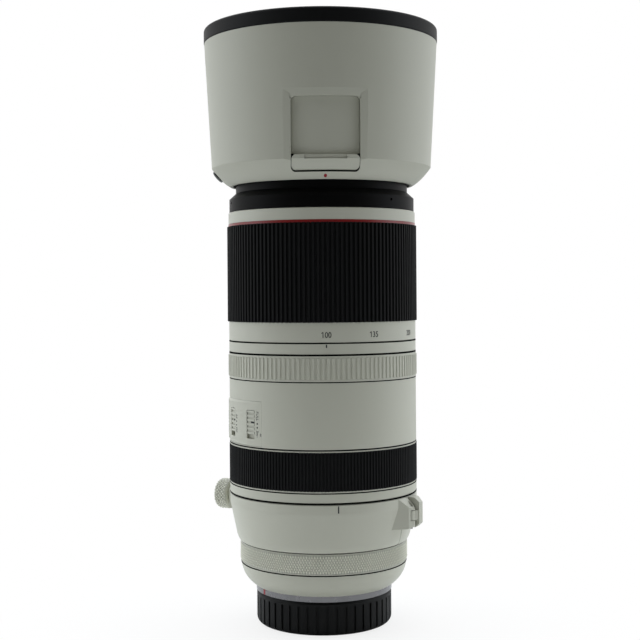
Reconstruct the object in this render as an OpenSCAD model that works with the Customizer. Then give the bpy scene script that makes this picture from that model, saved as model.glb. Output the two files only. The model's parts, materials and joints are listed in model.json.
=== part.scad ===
// Telephoto zoom lens standing on its rear cap, with the hood and the tripod collar fitted.
// Millimetres. The optical axis is +Z and the side with the zoom index faces -Y.
// Angles round the barrel are measured from -Y towards +X.

/* [Fits] */
// Clearance between tubes and rings that turn or slide on one another
run = 0.3; // [0.2:0.05:0.4]
// Gap between pieces that are fastened together
seat = 0.04; // [0.02:0.01:0.08]
// Radial clearance of a pin, stud or rod in its hole
pin_fit = 0.06; // [0.03:0.01:0.1]
// Width of the joint line between neighbouring rings
joint_line = 0.3; // [0.2:0.05:0.5]

/* [Barrel tubes] */
// Bore of the sliding inner barrel
bore_r = 39.2; // [37:0.1:42]
// Wall of the inner barrel
tube_t = 1.4; // [1.2:0.1:2.6]
// Wall of the fixed guide tube
guide_t = 1.4; // [1:0.1:2]
// Wall of the cam barrel
cam_t = 1.1; // [0.8:0.1:1.6]
// Wall of the ring sleeves under their rubber
sleeve_t = 1.2; // [0.8:0.1:1.8]
// Height of the painted bands above the sleeves
band_t = 1; // [0.6:0.1:1.5]

/* [Rear cap] */
// Height of the cap
cap_h = 16.2; // [14:0.1:20]
// Outer radius of the cap
cap_r = 33.3; // [32.5:0.1:36]
// Wall of the cap
cap_t = 2.4; // [1.8:0.1:3]
// Thickness of the cap's floor
cap_floor = 2; // [1.5:0.1:3]
// Radius of the cap's lower edge
cap_edge = 3; // [1.5:0.1:4]
// Number of grip grooves round the cap
cap_grooves = 46; // [30:1:60]
// Width of a grip groove
cap_groove_w = 1.3; // [0.8:0.1:2]
// Depth of a grip groove
cap_groove_t = 0.7; // [0.4:0.1:1]

/* [Mount] */
// Outer radius of the mount flange
flange_r = 33.5; // [32.5:0.1:36]
// Thickness of the mount flange
flange_t = 2.8; // [2:0.1:4]
// Radius of the register that centres the lens in the body
register_r = 26.8; // [26:0.1:28]
// Height of the register
register_h = 2.2; // [1.5:0.1:3]
// Radius of the bayonet neck
neck_r = 24.4; // [23.8:0.1:25]
// Radius over the bayonet lugs
lug_r = 26.5; // [26:0.1:26.6]
// Thickness of a bayonet lug
lug_t = 1.8; // [1.4:0.1:2]
// Depth of the bayonet below the flange
bayonet_h = 6.5; // [6:0.1:8]
// Radius of the throat
throat_r = 21.4; // [20:0.1:22.5]
// Number of electrical contacts
contacts = 12; // [6:1:14]

/* [Rear cover and control ring] */
// Height of the rear cover
cover_h = 11; // [9:0.1:14]
// Radius of the control ring and of the cover below it
control_r = 41; // [40.8:0.1:43]
// Length of the control ring
control_h = 10.2; // [8:0.1:13]
// Wall of the control ring
control_t = 2; // [1.5:0.1:2.5]

/* [Tripod collar] */
// Length of the collar
collar_h = 23.5; // [22:0.1:30]
// Height of the collar's upright upper part
collar_upright = 4.2; // [3:0.1:8]
// Radius of the collar above its rounded lower edge
collar_foot_r = 43.1; // [42.5:0.1:44.5]
// Wall of the rear barrel under the collar
collar_seat_t = 1.9; // [1.5:0.1:2.5]
// Turn of the collar on the barrel
collar_turn = 6.3; // [-90:0.1:90]
// Angle of the hinge on the collar
hinge_at = 50; // [45:1:80]
// Radius of the hinge knuckles
knuckle_r = 2.1; // [1.8:0.1:3]
// Radius of the hinge pin
hinge_pin_r = 1; // [0.7:0.1:1.2]
// Gap between the two halves
split = 0.4; // [0.3:0.05:0.8]
// Radius of the clamping knob
knob_r = 7.4; // [6:0.1:9]
// Thickness of the knob's grip
knob_t = 8; // [6:0.1:10]
// Thickness of the strap that the knob holds down
strap_t = 1.9; // [1.5:0.1:2.5]
// Radius of the knob's stud
stud_r = 2; // [1.5:0.1:2.5]
// Distance from the axis to the face of the foot
foot_reach = 74.5; // [70:0.5:85]
// Length of the foot along the barrel
foot_l = 64; // [50:1:80]
// Width of the foot
foot_w = 27; // [22:0.5:34]
// Thickness of the foot plate
foot_t = 9.5; // [9:0.1:12]
// Radius of the tripod thread
tripod_r = 3.175; // [3:0.001:4.8]

/* [Focus ring] */
// Length of the fixed band below the focus ring
fixed_h = 4.35; // [4:0.05:7]
// Length of the focus rubber
focus_h = 18.05; // [14:0.05:24]
// Thickness of the focus rubber
focus_rubber_t = 1.2; // [0.9:0.1:1.6]
// Length of the bead at each end of the rubber
focus_bead = 0.7; // [0.5:0.1:1.2]
// Number of ribs on the focus rubber
focus_ribs = 180; // [120:1:200]

/* [Main barrel] */
// Length of the main barrel below the torque ring
main_h = 31.35; // [28:0.05:45]
// Length of the torque ring
torque_h = 11.85; // [9:0.05:15]
// Number of ribs on the torque ring
torque_ribs = 124; // [90:1:130]
// Rise of the torque ring's ribs above the barrel
torque_rise = 0.45; // [0.3:0.05:0.7]
// Length of the index band
index_h = 5.6; // [4:0.1:8]

/* [Switches] */
// Length of the switch panel along the barrel
panel_h = 21.2; // [19:0.1:24]
// Rise of the switch panel above the barrel
panel_rise = 0.5; // [0.3:0.1:0.9]
// Angle of the switch nearest the index
switch_at = -50; // [-60:1:-45]
// Angle between neighbouring switches
switch_step = 21; // [17:1:23]
// Length of a switch slot
slot_l = 13.6; // [12:0.1:15]
// Width of a switch slot
slot_w = 5.8; // [4.5:0.1:7]
// Travel of a switch slider
switch_travel = 2; // [1.5:0.1:3]

/* [Zoom ring] */
// Length of the zoom scale band
scale_h = 9.3; // [8:0.1:14]
// Length of the zoom rubber
grip_h = 46.45; // [40:0.05:60]
// Thickness of the zoom rubber
rubber_t = 1.7; // [1.2:0.1:2.2]
// Number of ribs on the zoom rubber
grip_ribs = 132; // [90:1:150]
// Width of the coloured line
red_h = 1.3; // [0.8:0.1:2]
// Length of the band above the coloured line
name_h = 5.6; // [5.4:0.1:9]
// Turn of the zoom ring from the short to the long end
zoom_turn = 135; // [90:1:140]
// Extension of the front barrel over that turn
zoom_travel = 86; // [60:0.5:88]
// Radius of a cam follower
follower_r = 2; // [1.5:0.1:2.2]

/* [Front ring] */
// Length of the front ring's skirt
skirt_h = 6.2; // [5:0.1:8]
// Length of the chamfer above the skirt
chamfer_h = 3; // [2:0.1:4]
// Length of the neck that carries the hood
hood_neck_h = 13.1; // [12:0.1:16]
// Radius of the neck that carries the hood
hood_neck_r = 42.45; // [42.2:0.05:43.2]
// Radius of the filter thread
filter_r = 38.5; // [38.5:0.05:39.5]
// Depth of the filter thread
filter_h = 5.2; // [4:0.1:6]
// Step of the skirt below the barrel's radius
skirt_step = 0.5; // [0.3:0.1:1]

/* [Hood] */
// Height of the hood's bowl
bowl_h = 8.75; // [8:0.05:12]
// Height of the hood's cone
cone_h = 61.25; // [55:0.25:80]
// Height of the hood's rim
rim_h = 7.2; // [5:0.1:8]
// Radius at the top of the cone
cone_top_r = 57.6; // [55:0.1:62]
// How much wider the cone is at its top than at its foot
cone_flare = 3.4; // [2:0.1:5]
// Wall of the hood
hood_t = 2.4; // [2:0.1:3]
// Width of the filter window
window_w = 31.8; // [26:0.1:34]
// Height of the filter window
window_h = 34.2; // [28:0.1:36]
// Height of the window door's thumb tab
tab_h = 6.6; // [6:0.1:8]
// Corner radius of the window
window_corner = 2.3; // [1.5:0.1:3]
// Thickness of the window door
door_t = 1.4; // [1:0.1:1.8]
// Angle of the release button round the hood
button_at = -92; // [-110:1:-80]
// Length of the release button round the hood
button_l = 11; // [9:0.1:13]
// Width of the release button
button_w = 6; // [5:0.1:7]
// Travel of the release button
button_travel = 1.4; // [1:0.1:1.6]

/* [Optics] */
// Radius of the front lens
front_lens_r = 37.4; // [36.8:0.1:37.8]
// Radius of the variator glass
variator_r = 31; // [28:0.5:34]
// Radius of the focusing glass
focus_glass_r = 21; // [18:0.5:23]
// Radius of the rear glass
rear_glass_r = 18; // [16:0.5:20]
// Travel of the focusing group
focus_travel = 15; // [10:0.5:15.5]

/* [Iris] */
// Radius of the open iris
iris_r = 20; // [18:0.1:21]
// Thickness of a blade
blade_t = 0.2; // [0.15:0.01:0.24]
// Radius of a blade's pivot pin
pivot_r = 0.8; // [0.6:0.05:1]

/* [Hidden] */
$fn = 96;
// Number of iris blades
blades = 9;

// Colours of the finishes
WHITE = "#b9b8ac";
BLACK = "#1a1b1b";
RUBBER = "#101111";
RED = "#7d1410";
STEEL = "#9a9a94";
BRASS = "#b08d4a";
GLASS = "#5a6f8a";

// Radii of the nested tubes, from the inner barrel outwards
tube_r = bore_r + tube_t;
guide_in = tube_r + run;
guide_r = guide_in + guide_t;
cam_in = guide_r + run;
cam_r = cam_in + cam_t;
sleeve_in = cam_r + run;
sleeve_r = sleeve_in + sleeve_t;
barrel_r = sleeve_r + band_t;
grip_r = sleeve_r + rubber_t;
focus_r = sleeve_r + focus_rubber_t;
focus_wall = 1.26;
focus_seat_r = guide_r + seat + focus_wall;
torque_neck_t = 0.9;
torque_neck_r = sleeve_in + torque_neck_t;
rib_t = 0.9;
fine_bore = 480;

// Heights along the axis, from the cap upwards
z_flange = cap_h + joint_line / 3;
z_cover = z_flange + flange_t;
z_control = z_cover + cover_h + joint_line;
z_collar = z_control + control_h + joint_line;
z_fixed = z_collar + collar_h + 2 * joint_line;
z_focus = z_fixed + fixed_h + joint_line;
z_main = z_focus + focus_h + 2 * focus_bead + joint_line;
z_torque = z_main + main_h + joint_line;
z_index = z_torque + torque_h + joint_line;
z_zoom = z_index + index_h + joint_line;
z_grip = z_zoom + scale_h;
z_red = z_grip + grip_h;
z_name = z_red + red_h;
z_front = z_name + name_h + joint_line;
z_neck = z_front + skirt_h + chamfer_h;
z_lens_end = z_neck + hood_neck_h;

// Rear end
cap_bevel = 1.2;
cap_in = cap_r - cap_t;
cap_wall_in = lug_r + 1.7 * run;
cap_wall_t = 1.8;
cap_tab_t = 1.5;
bayonet_tab = 50;
screw_at_r = 30;
screw_head_r = 1.8;
screw_head_h = 1.2;
screw_r = 1;
screw_l = 5.8;
screw_cross = [2, 0.4, 0.65];
contact_r = 0.6;
contact_span = 72;
contact_at_r = throat_r - 1.9;
contact_block_h = 3.4;
contact_block_t = 3.6;
contact_proud = 0.4;
baffle_t = 1.5;
baffle_w = 30;
baffle_h = 22;
cover_ring_r = 27;
cover_floor = 3.4;
cover_shelf = 7.2;
shelf_r = 33;
z_shelf = z_cover + cover_shelf;
control_in = control_r - control_t;
control_seat_r = control_in - run;
rear_wall = 2.1;
rear_bore_r = control_seat_r - rear_wall;
spigot_r = control_seat_r - 1;

// Rear barrel
z_guide = z_fixed + 1.6;
seat_overlap = 3.2;
collar_in_r = sleeve_in - 3.4;
collar_seat_r = collar_in_r - run;
chamber_r = collar_seat_r - collar_seat_t;
z_seat_top = z_main + seat_overlap;

// Tripod collar
collar_r = barrel_r;
collar_edge = [1.8, 4];
split_half = split / collar_r * 90 / PI;
hinge_r = collar_r + knuckle_r + run;
leaf_in_r = collar_in_r + 1.5;
leaf_run = 10;
leaf_shoulder = [3.5, 0.85];
leaf_crown = [0.9, 1.85];
rear_leaf_run = 11.5;
rear_leaf_shoulder = [6, 3.4];
z_hinge = z_collar + 8.8;
z_hinge_end = z_collar + collar_h - 0.5;
hinge_low_h = 3.7;
hinge_mid_h = 4.8;
leaf_low = [0.6, 0.57];
leaf_top_fall = 1.15;
rear_leaf_low = [1.4, 0.9];
rear_leaf_top = [0.9, 0.8];
hinge_turn = collar_turn + hinge_at;
clamp_at = 190.4;
knob_back = 6;
knob_z = z_collar + 17.8;
strap_over = 10;
strap_root = 9;
strap_lift = 0.7;
strap_in_r = collar_r + strap_lift;
strap_r = strap_in_r + strap_t;
strap_h = 10;
pad_over = 2.5;
knob_neck_r = 5.2;
knob_neck_h = 3;
knob_edge = 2.2;
stud_tip_r = collar_in_r + 0.6;
foot_turn = collar_turn + 180;
foot_pad_r = collar_r + 0.9;
foot_leg_w = 19;
foot_corner = 6;
foot_edge = 1.5;
z_foot = z_collar - 1;
leg_z0 = z_collar + 2;
leg_z1 = z_collar + collar_h - 2;
tripod_at = 38;
tripod_deep = 7.5;

// Switches
panel_t = 1.5;
panel_r = barrel_r + panel_rise;
panel_in_r = panel_r - panel_t;
panel_margin = 9;
panel_z = z_main + 0.7;
panel_from = switch_at - 3 * switch_step - panel_margin;
panel_to = switch_at + panel_margin;
panel_mid = (panel_from + panel_to) / 2;
panel_half = (panel_to - panel_from) / 2 - 2;
panel_off = panel_rise * (barrel_r + panel_r) / (2 * (panel_r - barrel_r * cos(panel_half)));
bulge_r = panel_r - panel_off;
bulge_ease = 1.6;
bulge_dip = 0.15;
slider_gap = 0.25;
slider_l = slot_l - switch_travel - 2 * slider_gap;
slider_w = slot_w - 2 * slider_gap;
slider_sink = 0.12;
ridge_t = 0.35;
slot_corner = 0.6;
slider_ridges = 5;
slot_z = panel_z + panel_h / 2 - 0.5;
switch_z = slot_z + switch_travel / 2;

// Zoom mechanism
cam_z0 = z_seat_top + 1;
cam_z1 = z_name + 3.4;
cam_rim = 3;
guide_top = z_name - 3.8;
tube_z0 = z_seat_top + 0.2;
tube_z1 = z_front + 3.7;
follower_z = tube_z0 + 7.2;
slot_end = 0.4;
cam_play = 0.2;
cam_lead = zoom_turn * PI / 180 * cam_r / zoom_travel;
cam_slot_w = 2 * (follower_r + cam_play) * sqrt(1 + cam_lead * cam_lead);
cam_slot_deg = cam_slot_w / cam_in * 180 / PI;
follower_at = [30, 150, 270];
variator_z = z_zoom + 11.3;
variator_h = 16;

// Front ring
skirt_r = barrel_r - skirt_step;
ledge_r = 35.6;
ledge_t = 1;
lens_fit = 0.1;
lens_t = 7.6;
z_lens = tube_z1 + seat + ledge_t;
z_retainer = z_lens + lens_t + 2 * seat;
z_filter = z_lens_end - filter_h;
lens_seat_r = front_lens_r + lens_fit;
retainer_in = front_lens_r - 1.2;
retainer_h = 3.2;
dome_r = 190;
set_screw_r = 0.7;
set_screw_deep = 1.2;
set_screw_at = 44;
hood_lug_t = 1.8;
hood_lug_rise = 1.05;
hood_lug_deg = 34;

// Hood
z_hood = z_front + 12.75;
z_crease = z_hood + bowl_h;
z_rim = z_crease + cone_h;
z_top = z_rim + rim_h;
z_lug = z_hood + 3.7;
bayonet_in = hood_neck_r + run;
bayonet_r = bayonet_in + 2.25;
lip_t = 1.05;
bayonet_drop = 0.5;
z_bayonet_top = z_crease - bayonet_drop - run;
lip_in = hood_neck_r + hood_lug_rise + run;
entry_deg = hood_lug_deg + 6;
hood_unlock = 60;
bowl_foot_r = bayonet_r + 0.2;
crease_r = cone_top_r - cone_flare;
bowl_bulge = [0.478 * (crease_r - bowl_foot_r), 0.263 * bowl_h];
bowl_inset = [1.75, 1.75];
lining_t = 0.6;
lining_gap = 0.1;
rim_rise = 0.2;
rim_t = 2.9;
rim_round = 1.4;
cone_slope = (cone_top_r - crease_r) / cone_h;
z_window = z_hood + 3;
window_gap = 0.25;
tab_lift = 0.95;
surround_t = 0.8;
surround_h = 4;
surround_at = 11;
surround_half = 9.6;
door_gap = 0.3;
door_lap = 1.6;
door_travel = window_h - tab_h - tab_lift - window_gap;
z_door = z_crease + 2.6;
door_top = z_window + window_h + door_lap;
tab_t = hood_t + door_gap + door_t;
tab_in_r = bayonet_r + 1.5;
rail_w = 1.5;
rail_lip = 0.9;
rail_root = 0.3;
rail_grip = 1.2;
rail_top = door_top + door_travel + 1.5;
button_mid = 0.62;
button_rise = button_travel - 0.3;
button_flange = 0.8;
button_flange_t = 1;
button_slack = 0.2;
button_back = hood_t + button_flange_t + run + 0.4;

// Inside
z_cell = z_shelf;
cell_h = 9.6;
rod_r = 1.5;
rod_at_r = 28.5;
carriage_r = 33;
carriage_h = 8;
carriage_room = 3.3;
z_carriage = z_guide - carriage_room - focus_travel - carriage_h;
glass_t = 5;
motor_w = 9;
motor_t = 4.2;
motor_at = 200;
iris_plate_t = 1.2;
blade_gap = 0.12;
blade_step = blade_t + blade_gap;
blade_w = 6;
blade_span = 74;
pivot_at_r = iris_r + blade_w + 3;
pivot_lead = 4;
pivot_boss = 1.9;
blade_arm = 3.2;
z_blades = z_guide + iris_plate_t + blade_gap;
z_iris_ring = z_blades + blades * blade_step + run;
iris_ring_t = 1;
iris_slots = blades;

// Points of a round stretch through a, bent towards b, to c
function bend(a, b, c, n = 8) =
    [for (i = [0:n]) let (t = i / n) (1 - t) * (1 - t) * a + 2 * t * (1 - t) * b + t * t * c];

// Points of an arc in a profile
function arc(centre, r, from, to, n = 6) =
    [for (i = [0:n]) let (a = from + (to - from) * i / n) centre + r * [cos(a), sin(a)]];

// A point round the axis, at an angle from -Y
function around(r, a) = [r * sin(a), -r * cos(a)];

// Outline of a ribbed ring with flat-topped ribs
function ribbed(n, top, root) =
    [for (i = [0:n - 1]) let (p = 360 / n)
        each [around(root, i * p), around(top, (i + 0.14) * p), around(top, (i + 0.56) * p),
            around(root, (i + 0.7) * p)]];

// Radius of the hood's outer cone at a height
function cone_r(z) = crease_r + (z - z_crease) * cone_slope;

// A solid of revolution from its profile
module turned(profile) {
    rotate_extrude() polygon(profile);
}

// A plain tube
module tube(r_out, r_in, z0, z1) {
    turned([[r_in, z0], [r_out, z0], [r_out, z1], [r_in, z1]]);
}

// A wedge of space round the axis
module sector(from, to, r, z0, z1, steps = 6) {
    translate([0, 0, z0])
        linear_extrude(z1 - z0)
            polygon(concat([[0, 0]],
                [for (i = [0:steps]) around(r, from + (to - from) * i / steps)]));
}

// Turns a feature that is built on -Y to its angle
module at(angle) {
    rotate([0, 0, angle]) children();
}

// Stands a feature on a radius, with its own +Z pointing outwards
module outwards(angle, r, z) {
    at(angle) translate([0, -r, z]) rotate([90, 0, 0]) children();
}

// A rectangle with round corners
module rounded(w, h, r) {
    square([w - 2 * r, h], center = true);
    square([w, h - 2 * r], center = true);
    for (x = [-1, 1], y = [-1, 1])
        translate([x * (w / 2 - r), y * (h / 2 - r)]) circle(r);
}

module rear_cap() {
    tab_z = z_flange - register_h - 0.7 - cap_tab_t;
    color(BLACK) difference() {
        union() {
            turned(concat(
                [[0, 0]],
                arc([cap_r - cap_edge, cap_edge], cap_edge, -90, 0),
                [[cap_r, cap_h - cap_bevel], [cap_r - cap_bevel / 2, cap_h], [cap_in, cap_h],
                    [cap_in, cap_floor], [0, cap_floor]]
            ));
            tube(cap_wall_in + cap_wall_t, cap_wall_in, cap_floor - 0.5, tab_z + cap_tab_t);
            for (a = [0:120:240])
                intersection() {
                    tube(cap_wall_in + 0.5, neck_r + run, tab_z, tab_z + cap_tab_t);
                    sector(a - bayonet_tab / 2, a + bayonet_tab / 2, cap_r, 0, cap_h);
                }
        }
        for (i = [0:cap_grooves - 1])
            at(i * 360 / cap_grooves)
                translate([-cap_groove_w / 2, -cap_r - 1, cap_edge / 2])
                    cube([cap_groove_w, 1 + cap_groove_t, cap_h - 2 * cap_bevel - cap_edge / 2]);
    }
}

// Places the four mount screws
module at_screws() {
    for (a = [45:90:315])
        at(a) translate([0, -screw_at_r, z_flange]) children();
}

module lens_mount() {
    z_end = z_flange - bayonet_h;
    color(STEEL) difference() {
        union() {
            turned([[throat_r, z_end], [neck_r - 0.4, z_end], [neck_r, z_end + 0.4],
                [neck_r, z_flange - register_h], [register_r, z_flange - register_h],
                [register_r, z_flange], [flange_r, z_flange], [flange_r, z_cover],
                [throat_r, z_cover]]);
            for (a = [60:120:300])
                intersection() {
                    tube(lug_r, neck_r - 0.5, z_end + 0.4, z_end + 0.4 + lug_t);
                    sector(a - bayonet_tab / 2, a + bayonet_tab / 2, flange_r, 0, z_flange);
                }
        }
        at_screws() {
            translate([0, 0, -1]) cylinder(r = screw_head_r + pin_fit, h = 1 + screw_head_h);
            cylinder(r = screw_r + pin_fit, h = flange_t + 1);
        }
    }
}

module mount_screws() {
    color(STEEL) at_screws() difference() {
        union() {
            translate([0, 0, seat]) cylinder(r = screw_head_r, h = screw_head_h - seat);
            translate([0, 0, screw_head_h - 0.2]) cylinder(r = screw_r, h = screw_l - screw_head_h);
        }
        for (a = [0, 90])
            rotate(a) translate([-screw_cross[0] / 2, -screw_cross[1] / 2, 0])
                cube([screw_cross[0], screw_cross[1], screw_cross[2]]);
    }
}

// Places the contacts round the throat
module at_contacts() {
    step = contact_span / (contacts - 1);
    for (i = [0:contacts - 1])
        at(180 - contact_span / 2 + i * step)
            translate([0, -contact_at_r, z_flange - bayonet_h]) children();
}

module contact_block() {
    margin = 5;
    color(BLACK) difference() {
        intersection() {
            tube(throat_r - seat, throat_r - contact_block_t, z_flange - bayonet_h,
                z_flange - bayonet_h + contact_block_h);
            sector(180 - contact_span / 2 - margin, 180 + contact_span / 2 + margin, flange_r,
                0, z_flange);
        }
        at_contacts() translate([0, 0, -1]) cylinder(r = contact_r + seat, h = 3, $fn = 24);
    }
}

module contact_pins() {
    color(BRASS) at_contacts()
        translate([0, 0, -contact_proud]) cylinder(r = contact_r, h = 2 + contact_proud - seat, $fn = 24);
}

module rear_baffle() {
    z0 = z_flange - bayonet_h + contact_block_h + 0.2;
    color(BLACK) difference() {
        translate([0, 0, z0]) cylinder(r = throat_r - seat, h = baffle_t);
        translate([0, 0, z0 - 1]) linear_extrude(baffle_t + 2) rounded(baffle_w, baffle_h, 3);
    }
}

module rear_cover() {
    color(WHITE) difference() {
        turned(concat(
            [[cover_ring_r, z_cover]],
            bend([flange_r + 0.5, z_cover], [control_r - 0.7, z_cover + 0.38 * cover_h],
                [control_r - 0.1, z_cover + cover_h]),
            [[spigot_r + seat, z_cover + cover_h], [spigot_r + seat, z_shelf],
                [shelf_r, z_shelf], [shelf_r, z_shelf - 1.6],
                [cover_ring_r, z_cover + cover_floor]]
        ));
        at_screws() cylinder(r = screw_r + pin_fit, h = screw_l + 0.2);
    }
}

module rear_barrel() {
    color(WHITE) turned([
        [rear_bore_r, z_shelf], [spigot_r, z_shelf], [spigot_r, z_cover + cover_h + seat],
        [control_seat_r, z_cover + cover_h + seat], [control_seat_r, z_collar - joint_line / 2],
        [collar_seat_r, z_collar - joint_line / 2],
        [collar_seat_r, z_fixed], [barrel_r - 0.3, z_fixed], [barrel_r, z_fixed + 0.3],
        [barrel_r, z_fixed + fixed_h], [focus_seat_r, z_fixed + fixed_h], [focus_seat_r, z_seat_top],
        [guide_r + seat, z_seat_top], [guide_r + seat, z_guide], [chamber_r, z_guide],
        [chamber_r, z_collar], [rear_bore_r, z_collar - 1.5]
    ]);
}

// Places the two guide rods of the focusing group
module at_rods() {
    for (a = [70, 290])
        at(a) translate([0, -rod_at_r, 0]) children();
}

// A disc of glass with one domed face
module lens_disc(r, t, dome, z) {
    rise = dome - sqrt(dome * dome - r * r);
    translate([0, 0, z]) intersection() {
        cylinder(r = r, h = t + rise);
        translate([0, 0, t + rise - dome]) sphere(dome);
    }
}

module rear_cell() {
    color(BLACK) difference() {
        turned([[rear_glass_r - 1.5, z_cell], [rear_bore_r - seat, z_cell],
            [rear_bore_r - seat, z_cell + cell_h], [rear_glass_r + seat, z_cell + cell_h],
            [rear_glass_r + seat, z_cell + 2], [rear_glass_r - 1.5, z_cell + 2]]);
        at_rods() translate([0, 0, z_cell + 4]) cylinder(r = rod_r + seat, h = cell_h);
    }
}

module rear_glass() {
    color(GLASS) lens_disc(rear_glass_r, glass_t, 60, z_cell + 2);
}

module guide_rods() {
    color(STEEL) at_rods()
        translate([0, 0, z_cell + 4]) cylinder(r = rod_r, h = z_guide - z_cell - 4 - seat);
}

module focus_carriage() {
    color(BLACK) difference() {
        turned([[focus_glass_r - 1.5, z_carriage], [carriage_r, z_carriage],
            [carriage_r, z_carriage + carriage_h], [focus_glass_r + seat, z_carriage + carriage_h],
            [focus_glass_r + seat, z_carriage + 1.5], [focus_glass_r - 1.5, z_carriage + 1.5]]);
        at_rods() translate([0, 0, z_carriage - 1]) cylinder(r = rod_r + pin_fit, h = carriage_h + 2);
    }
}

module focus_glass() {
    color(GLASS) lens_disc(focus_glass_r, glass_t, 80, z_carriage + 1.5);
}

module focus_motor() {
    color(BLACK) at(motor_at)
        translate([-motor_w / 2, -carriage_r - run - motor_t, z_collar + 0.4])
            cube([motor_w, motor_t, z_guide - z_collar - 0.4 - seat]);
}

// Places one thing at every blade's pivot
module at_pivots() {
    for (i = [0:blades - 1])
        at(i * 360 / blades + pivot_lead) translate([0, -pivot_at_r, 0]) children();
}

module iris_base() {
    rim_in = pivot_at_r + 8;
    color(BLACK) difference() {
        union() {
            turned([[iris_r, z_guide], [guide_in - seat, z_guide],
                [guide_in - seat, z_iris_ring + iris_ring_t], [rim_in, z_iris_ring + iris_ring_t],
                [rim_in, z_guide + iris_plate_t], [iris_r, z_guide + iris_plate_t]]);
            at_pivots() translate([0, 0, z_guide + 0.5])
                cylinder(r = pivot_r, h = z_iris_ring - run - z_guide - 0.5, $fn = 24);
        }
        at_rods() translate([0, 0, z_guide - 1]) cylinder(r = rod_r / 2, h = 1.5);
    }
}

module iris_ring() {
    color(STEEL) difference() {
        tube(pivot_at_r + 8 - run, iris_r + 1, z_iris_ring, z_iris_ring + iris_ring_t);
        for (i = [0:iris_slots - 1])
            at(i * 360 / iris_slots) translate([0, -iris_r - 6, z_iris_ring - 1])
                linear_extrude(iris_ring_t + 2) rounded(1.8, 5, 0.85);
    }
}

module iris_blade(i) {
    color(STEEL) at(i * 360 / blades) translate([0, 0, z_blades + i * blade_step])
        linear_extrude(blade_t) difference() {
            union() {
                intersection() {
                    difference() {
                        circle(iris_r + blade_w);
                        circle(iris_r + 0.2);
                    }
                    polygon([[0, 0], around(60, -1), around(60, blade_span / 2), around(60, blade_span)]);
                }
                rotate(pivot_lead) translate([-blade_arm / 2, -pivot_at_r])
                    square([blade_arm, pivot_at_r - iris_r - blade_w / 2]);
                translate(around(pivot_at_r, pivot_lead)) circle(pivot_boss, $fn = 32);
            }
            translate(around(pivot_at_r, pivot_lead)) circle(pivot_r + pin_fit, $fn = 24);
        }
}

module guide_tube() {
    slot_w = 2 * (follower_r + pin_fit);
    slot_h = zoom_travel + 2 * (follower_r + slot_end);
    color(STEEL) difference() {
        tube(guide_r, guide_in, z_guide, guide_top);
        for (a = follower_at)
            at(a) translate([-slot_w / 2, -guide_r - 1, follower_z - follower_r - slot_end])
                cube([slot_w, 2 + guide_t + 1, slot_h]);
    }
}

module main_barrel() {
    recess_gap = seat;
    color(WHITE) difference() {
        turned([
            [focus_seat_r + seat, z_main], [barrel_r - 0.3, z_main], [barrel_r, z_main + 0.3],
            [barrel_r, z_main + main_h], [torque_neck_r, z_main + main_h], [torque_neck_r, z_index],
            [barrel_r, z_index], [barrel_r, z_index + index_h - 0.3],
            [barrel_r - 0.3, z_index + index_h], [sleeve_in, z_index + index_h],
            [sleeve_in, z_seat_top + 0.2], [focus_seat_r + seat, z_seat_top + 0.2]
        ]);
        intersection() {
            tube(panel_r + 1, panel_in_r - recess_gap, panel_z - recess_gap, panel_z + panel_h + recess_gap);
            sector(panel_from - 0.1, panel_to + 0.1, panel_r + 4, panel_z - 1, panel_z + panel_h + 1, 24);
        }
    }
}

// Places a switch on the panel
module at_switch(i, r, z) {
    outwards(switch_at - i * switch_step, r, z) children();
}

// Radius of the panel's outside at an angle
function panel_at(a) =
    let (d = a - panel_mid)
    panel_off * cos(d) + sqrt(bulge_r * bulge_r - pow(panel_off * sin(d), 2));

module switch_panel() {
    z1 = panel_z + panel_h;
    foot = barrel_r - bulge_dip;
    crest = panel_r + bulge_dip;
    color(WHITE) difference() {
        intersection() {
            // Sloping ends
            turned([[panel_in_r, panel_z], [foot, panel_z], [crest, panel_z + bulge_ease],
                [crest, z1 - bulge_ease], [foot, z1], [panel_in_r, z1]]);
            // Outside that swells from the barrel's radius towards its middle
            at(panel_mid) translate([0, -panel_off, panel_z - 1]) cylinder(r = bulge_r, h = panel_h + 2);
            sector(panel_from, panel_to, panel_r + 4, panel_z - 1, z1 + 1, 24);
        }
        for (i = [0:3])
            at_switch(i, panel_in_r - 1, slot_z)
                linear_extrude(panel_t + 3) rounded(slot_w, slot_l, slot_corner);
    }
}

module switch_slider(i) {
    foot_r = panel_in_r + slider_gap;
    rise = panel_at(switch_at - i * switch_step) - slider_sink - foot_r;
    ridge = slider_l / (2 * slider_ridges + 1);
    color(WHITE) difference() {
        at_switch(i, foot_r, switch_z)
            linear_extrude(rise) rounded(slider_w, slider_l, slot_corner - 0.1);
        for (k = [0:slider_ridges - 1])
            at_switch(i, foot_r + rise - ridge_t, switch_z - slider_l / 2 + (2 * k + 1.5) * ridge)
                translate([-slot_w, -ridge / 2, 0]) cube([2 * slot_w, ridge, 2]);
    }
}

module control_ring() {
    color(WHITE) turned([[control_in, z_control], [control_r - 0.3, z_control],
        [control_r, z_control + 0.3], [control_r, z_control + control_h - 0.3],
        [control_r - 0.3, z_control + control_h], [control_in, z_control + control_h]]);
}

module focus_sleeve() {
    inner = focus_seat_r + run;
    z1 = z_focus + focus_bead;
    z2 = z1 + focus_h;
    color(WHITE) turned([[inner, z_focus], [barrel_r - 0.2, z_focus], [barrel_r, z_focus + 0.2],
        [barrel_r, z1], [sleeve_r, z1], [sleeve_r, z2], [barrel_r, z2],
        [barrel_r, z2 + focus_bead - 0.2], [barrel_r - 0.2, z2 + focus_bead], [inner, z2 + focus_bead]]);
}

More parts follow.
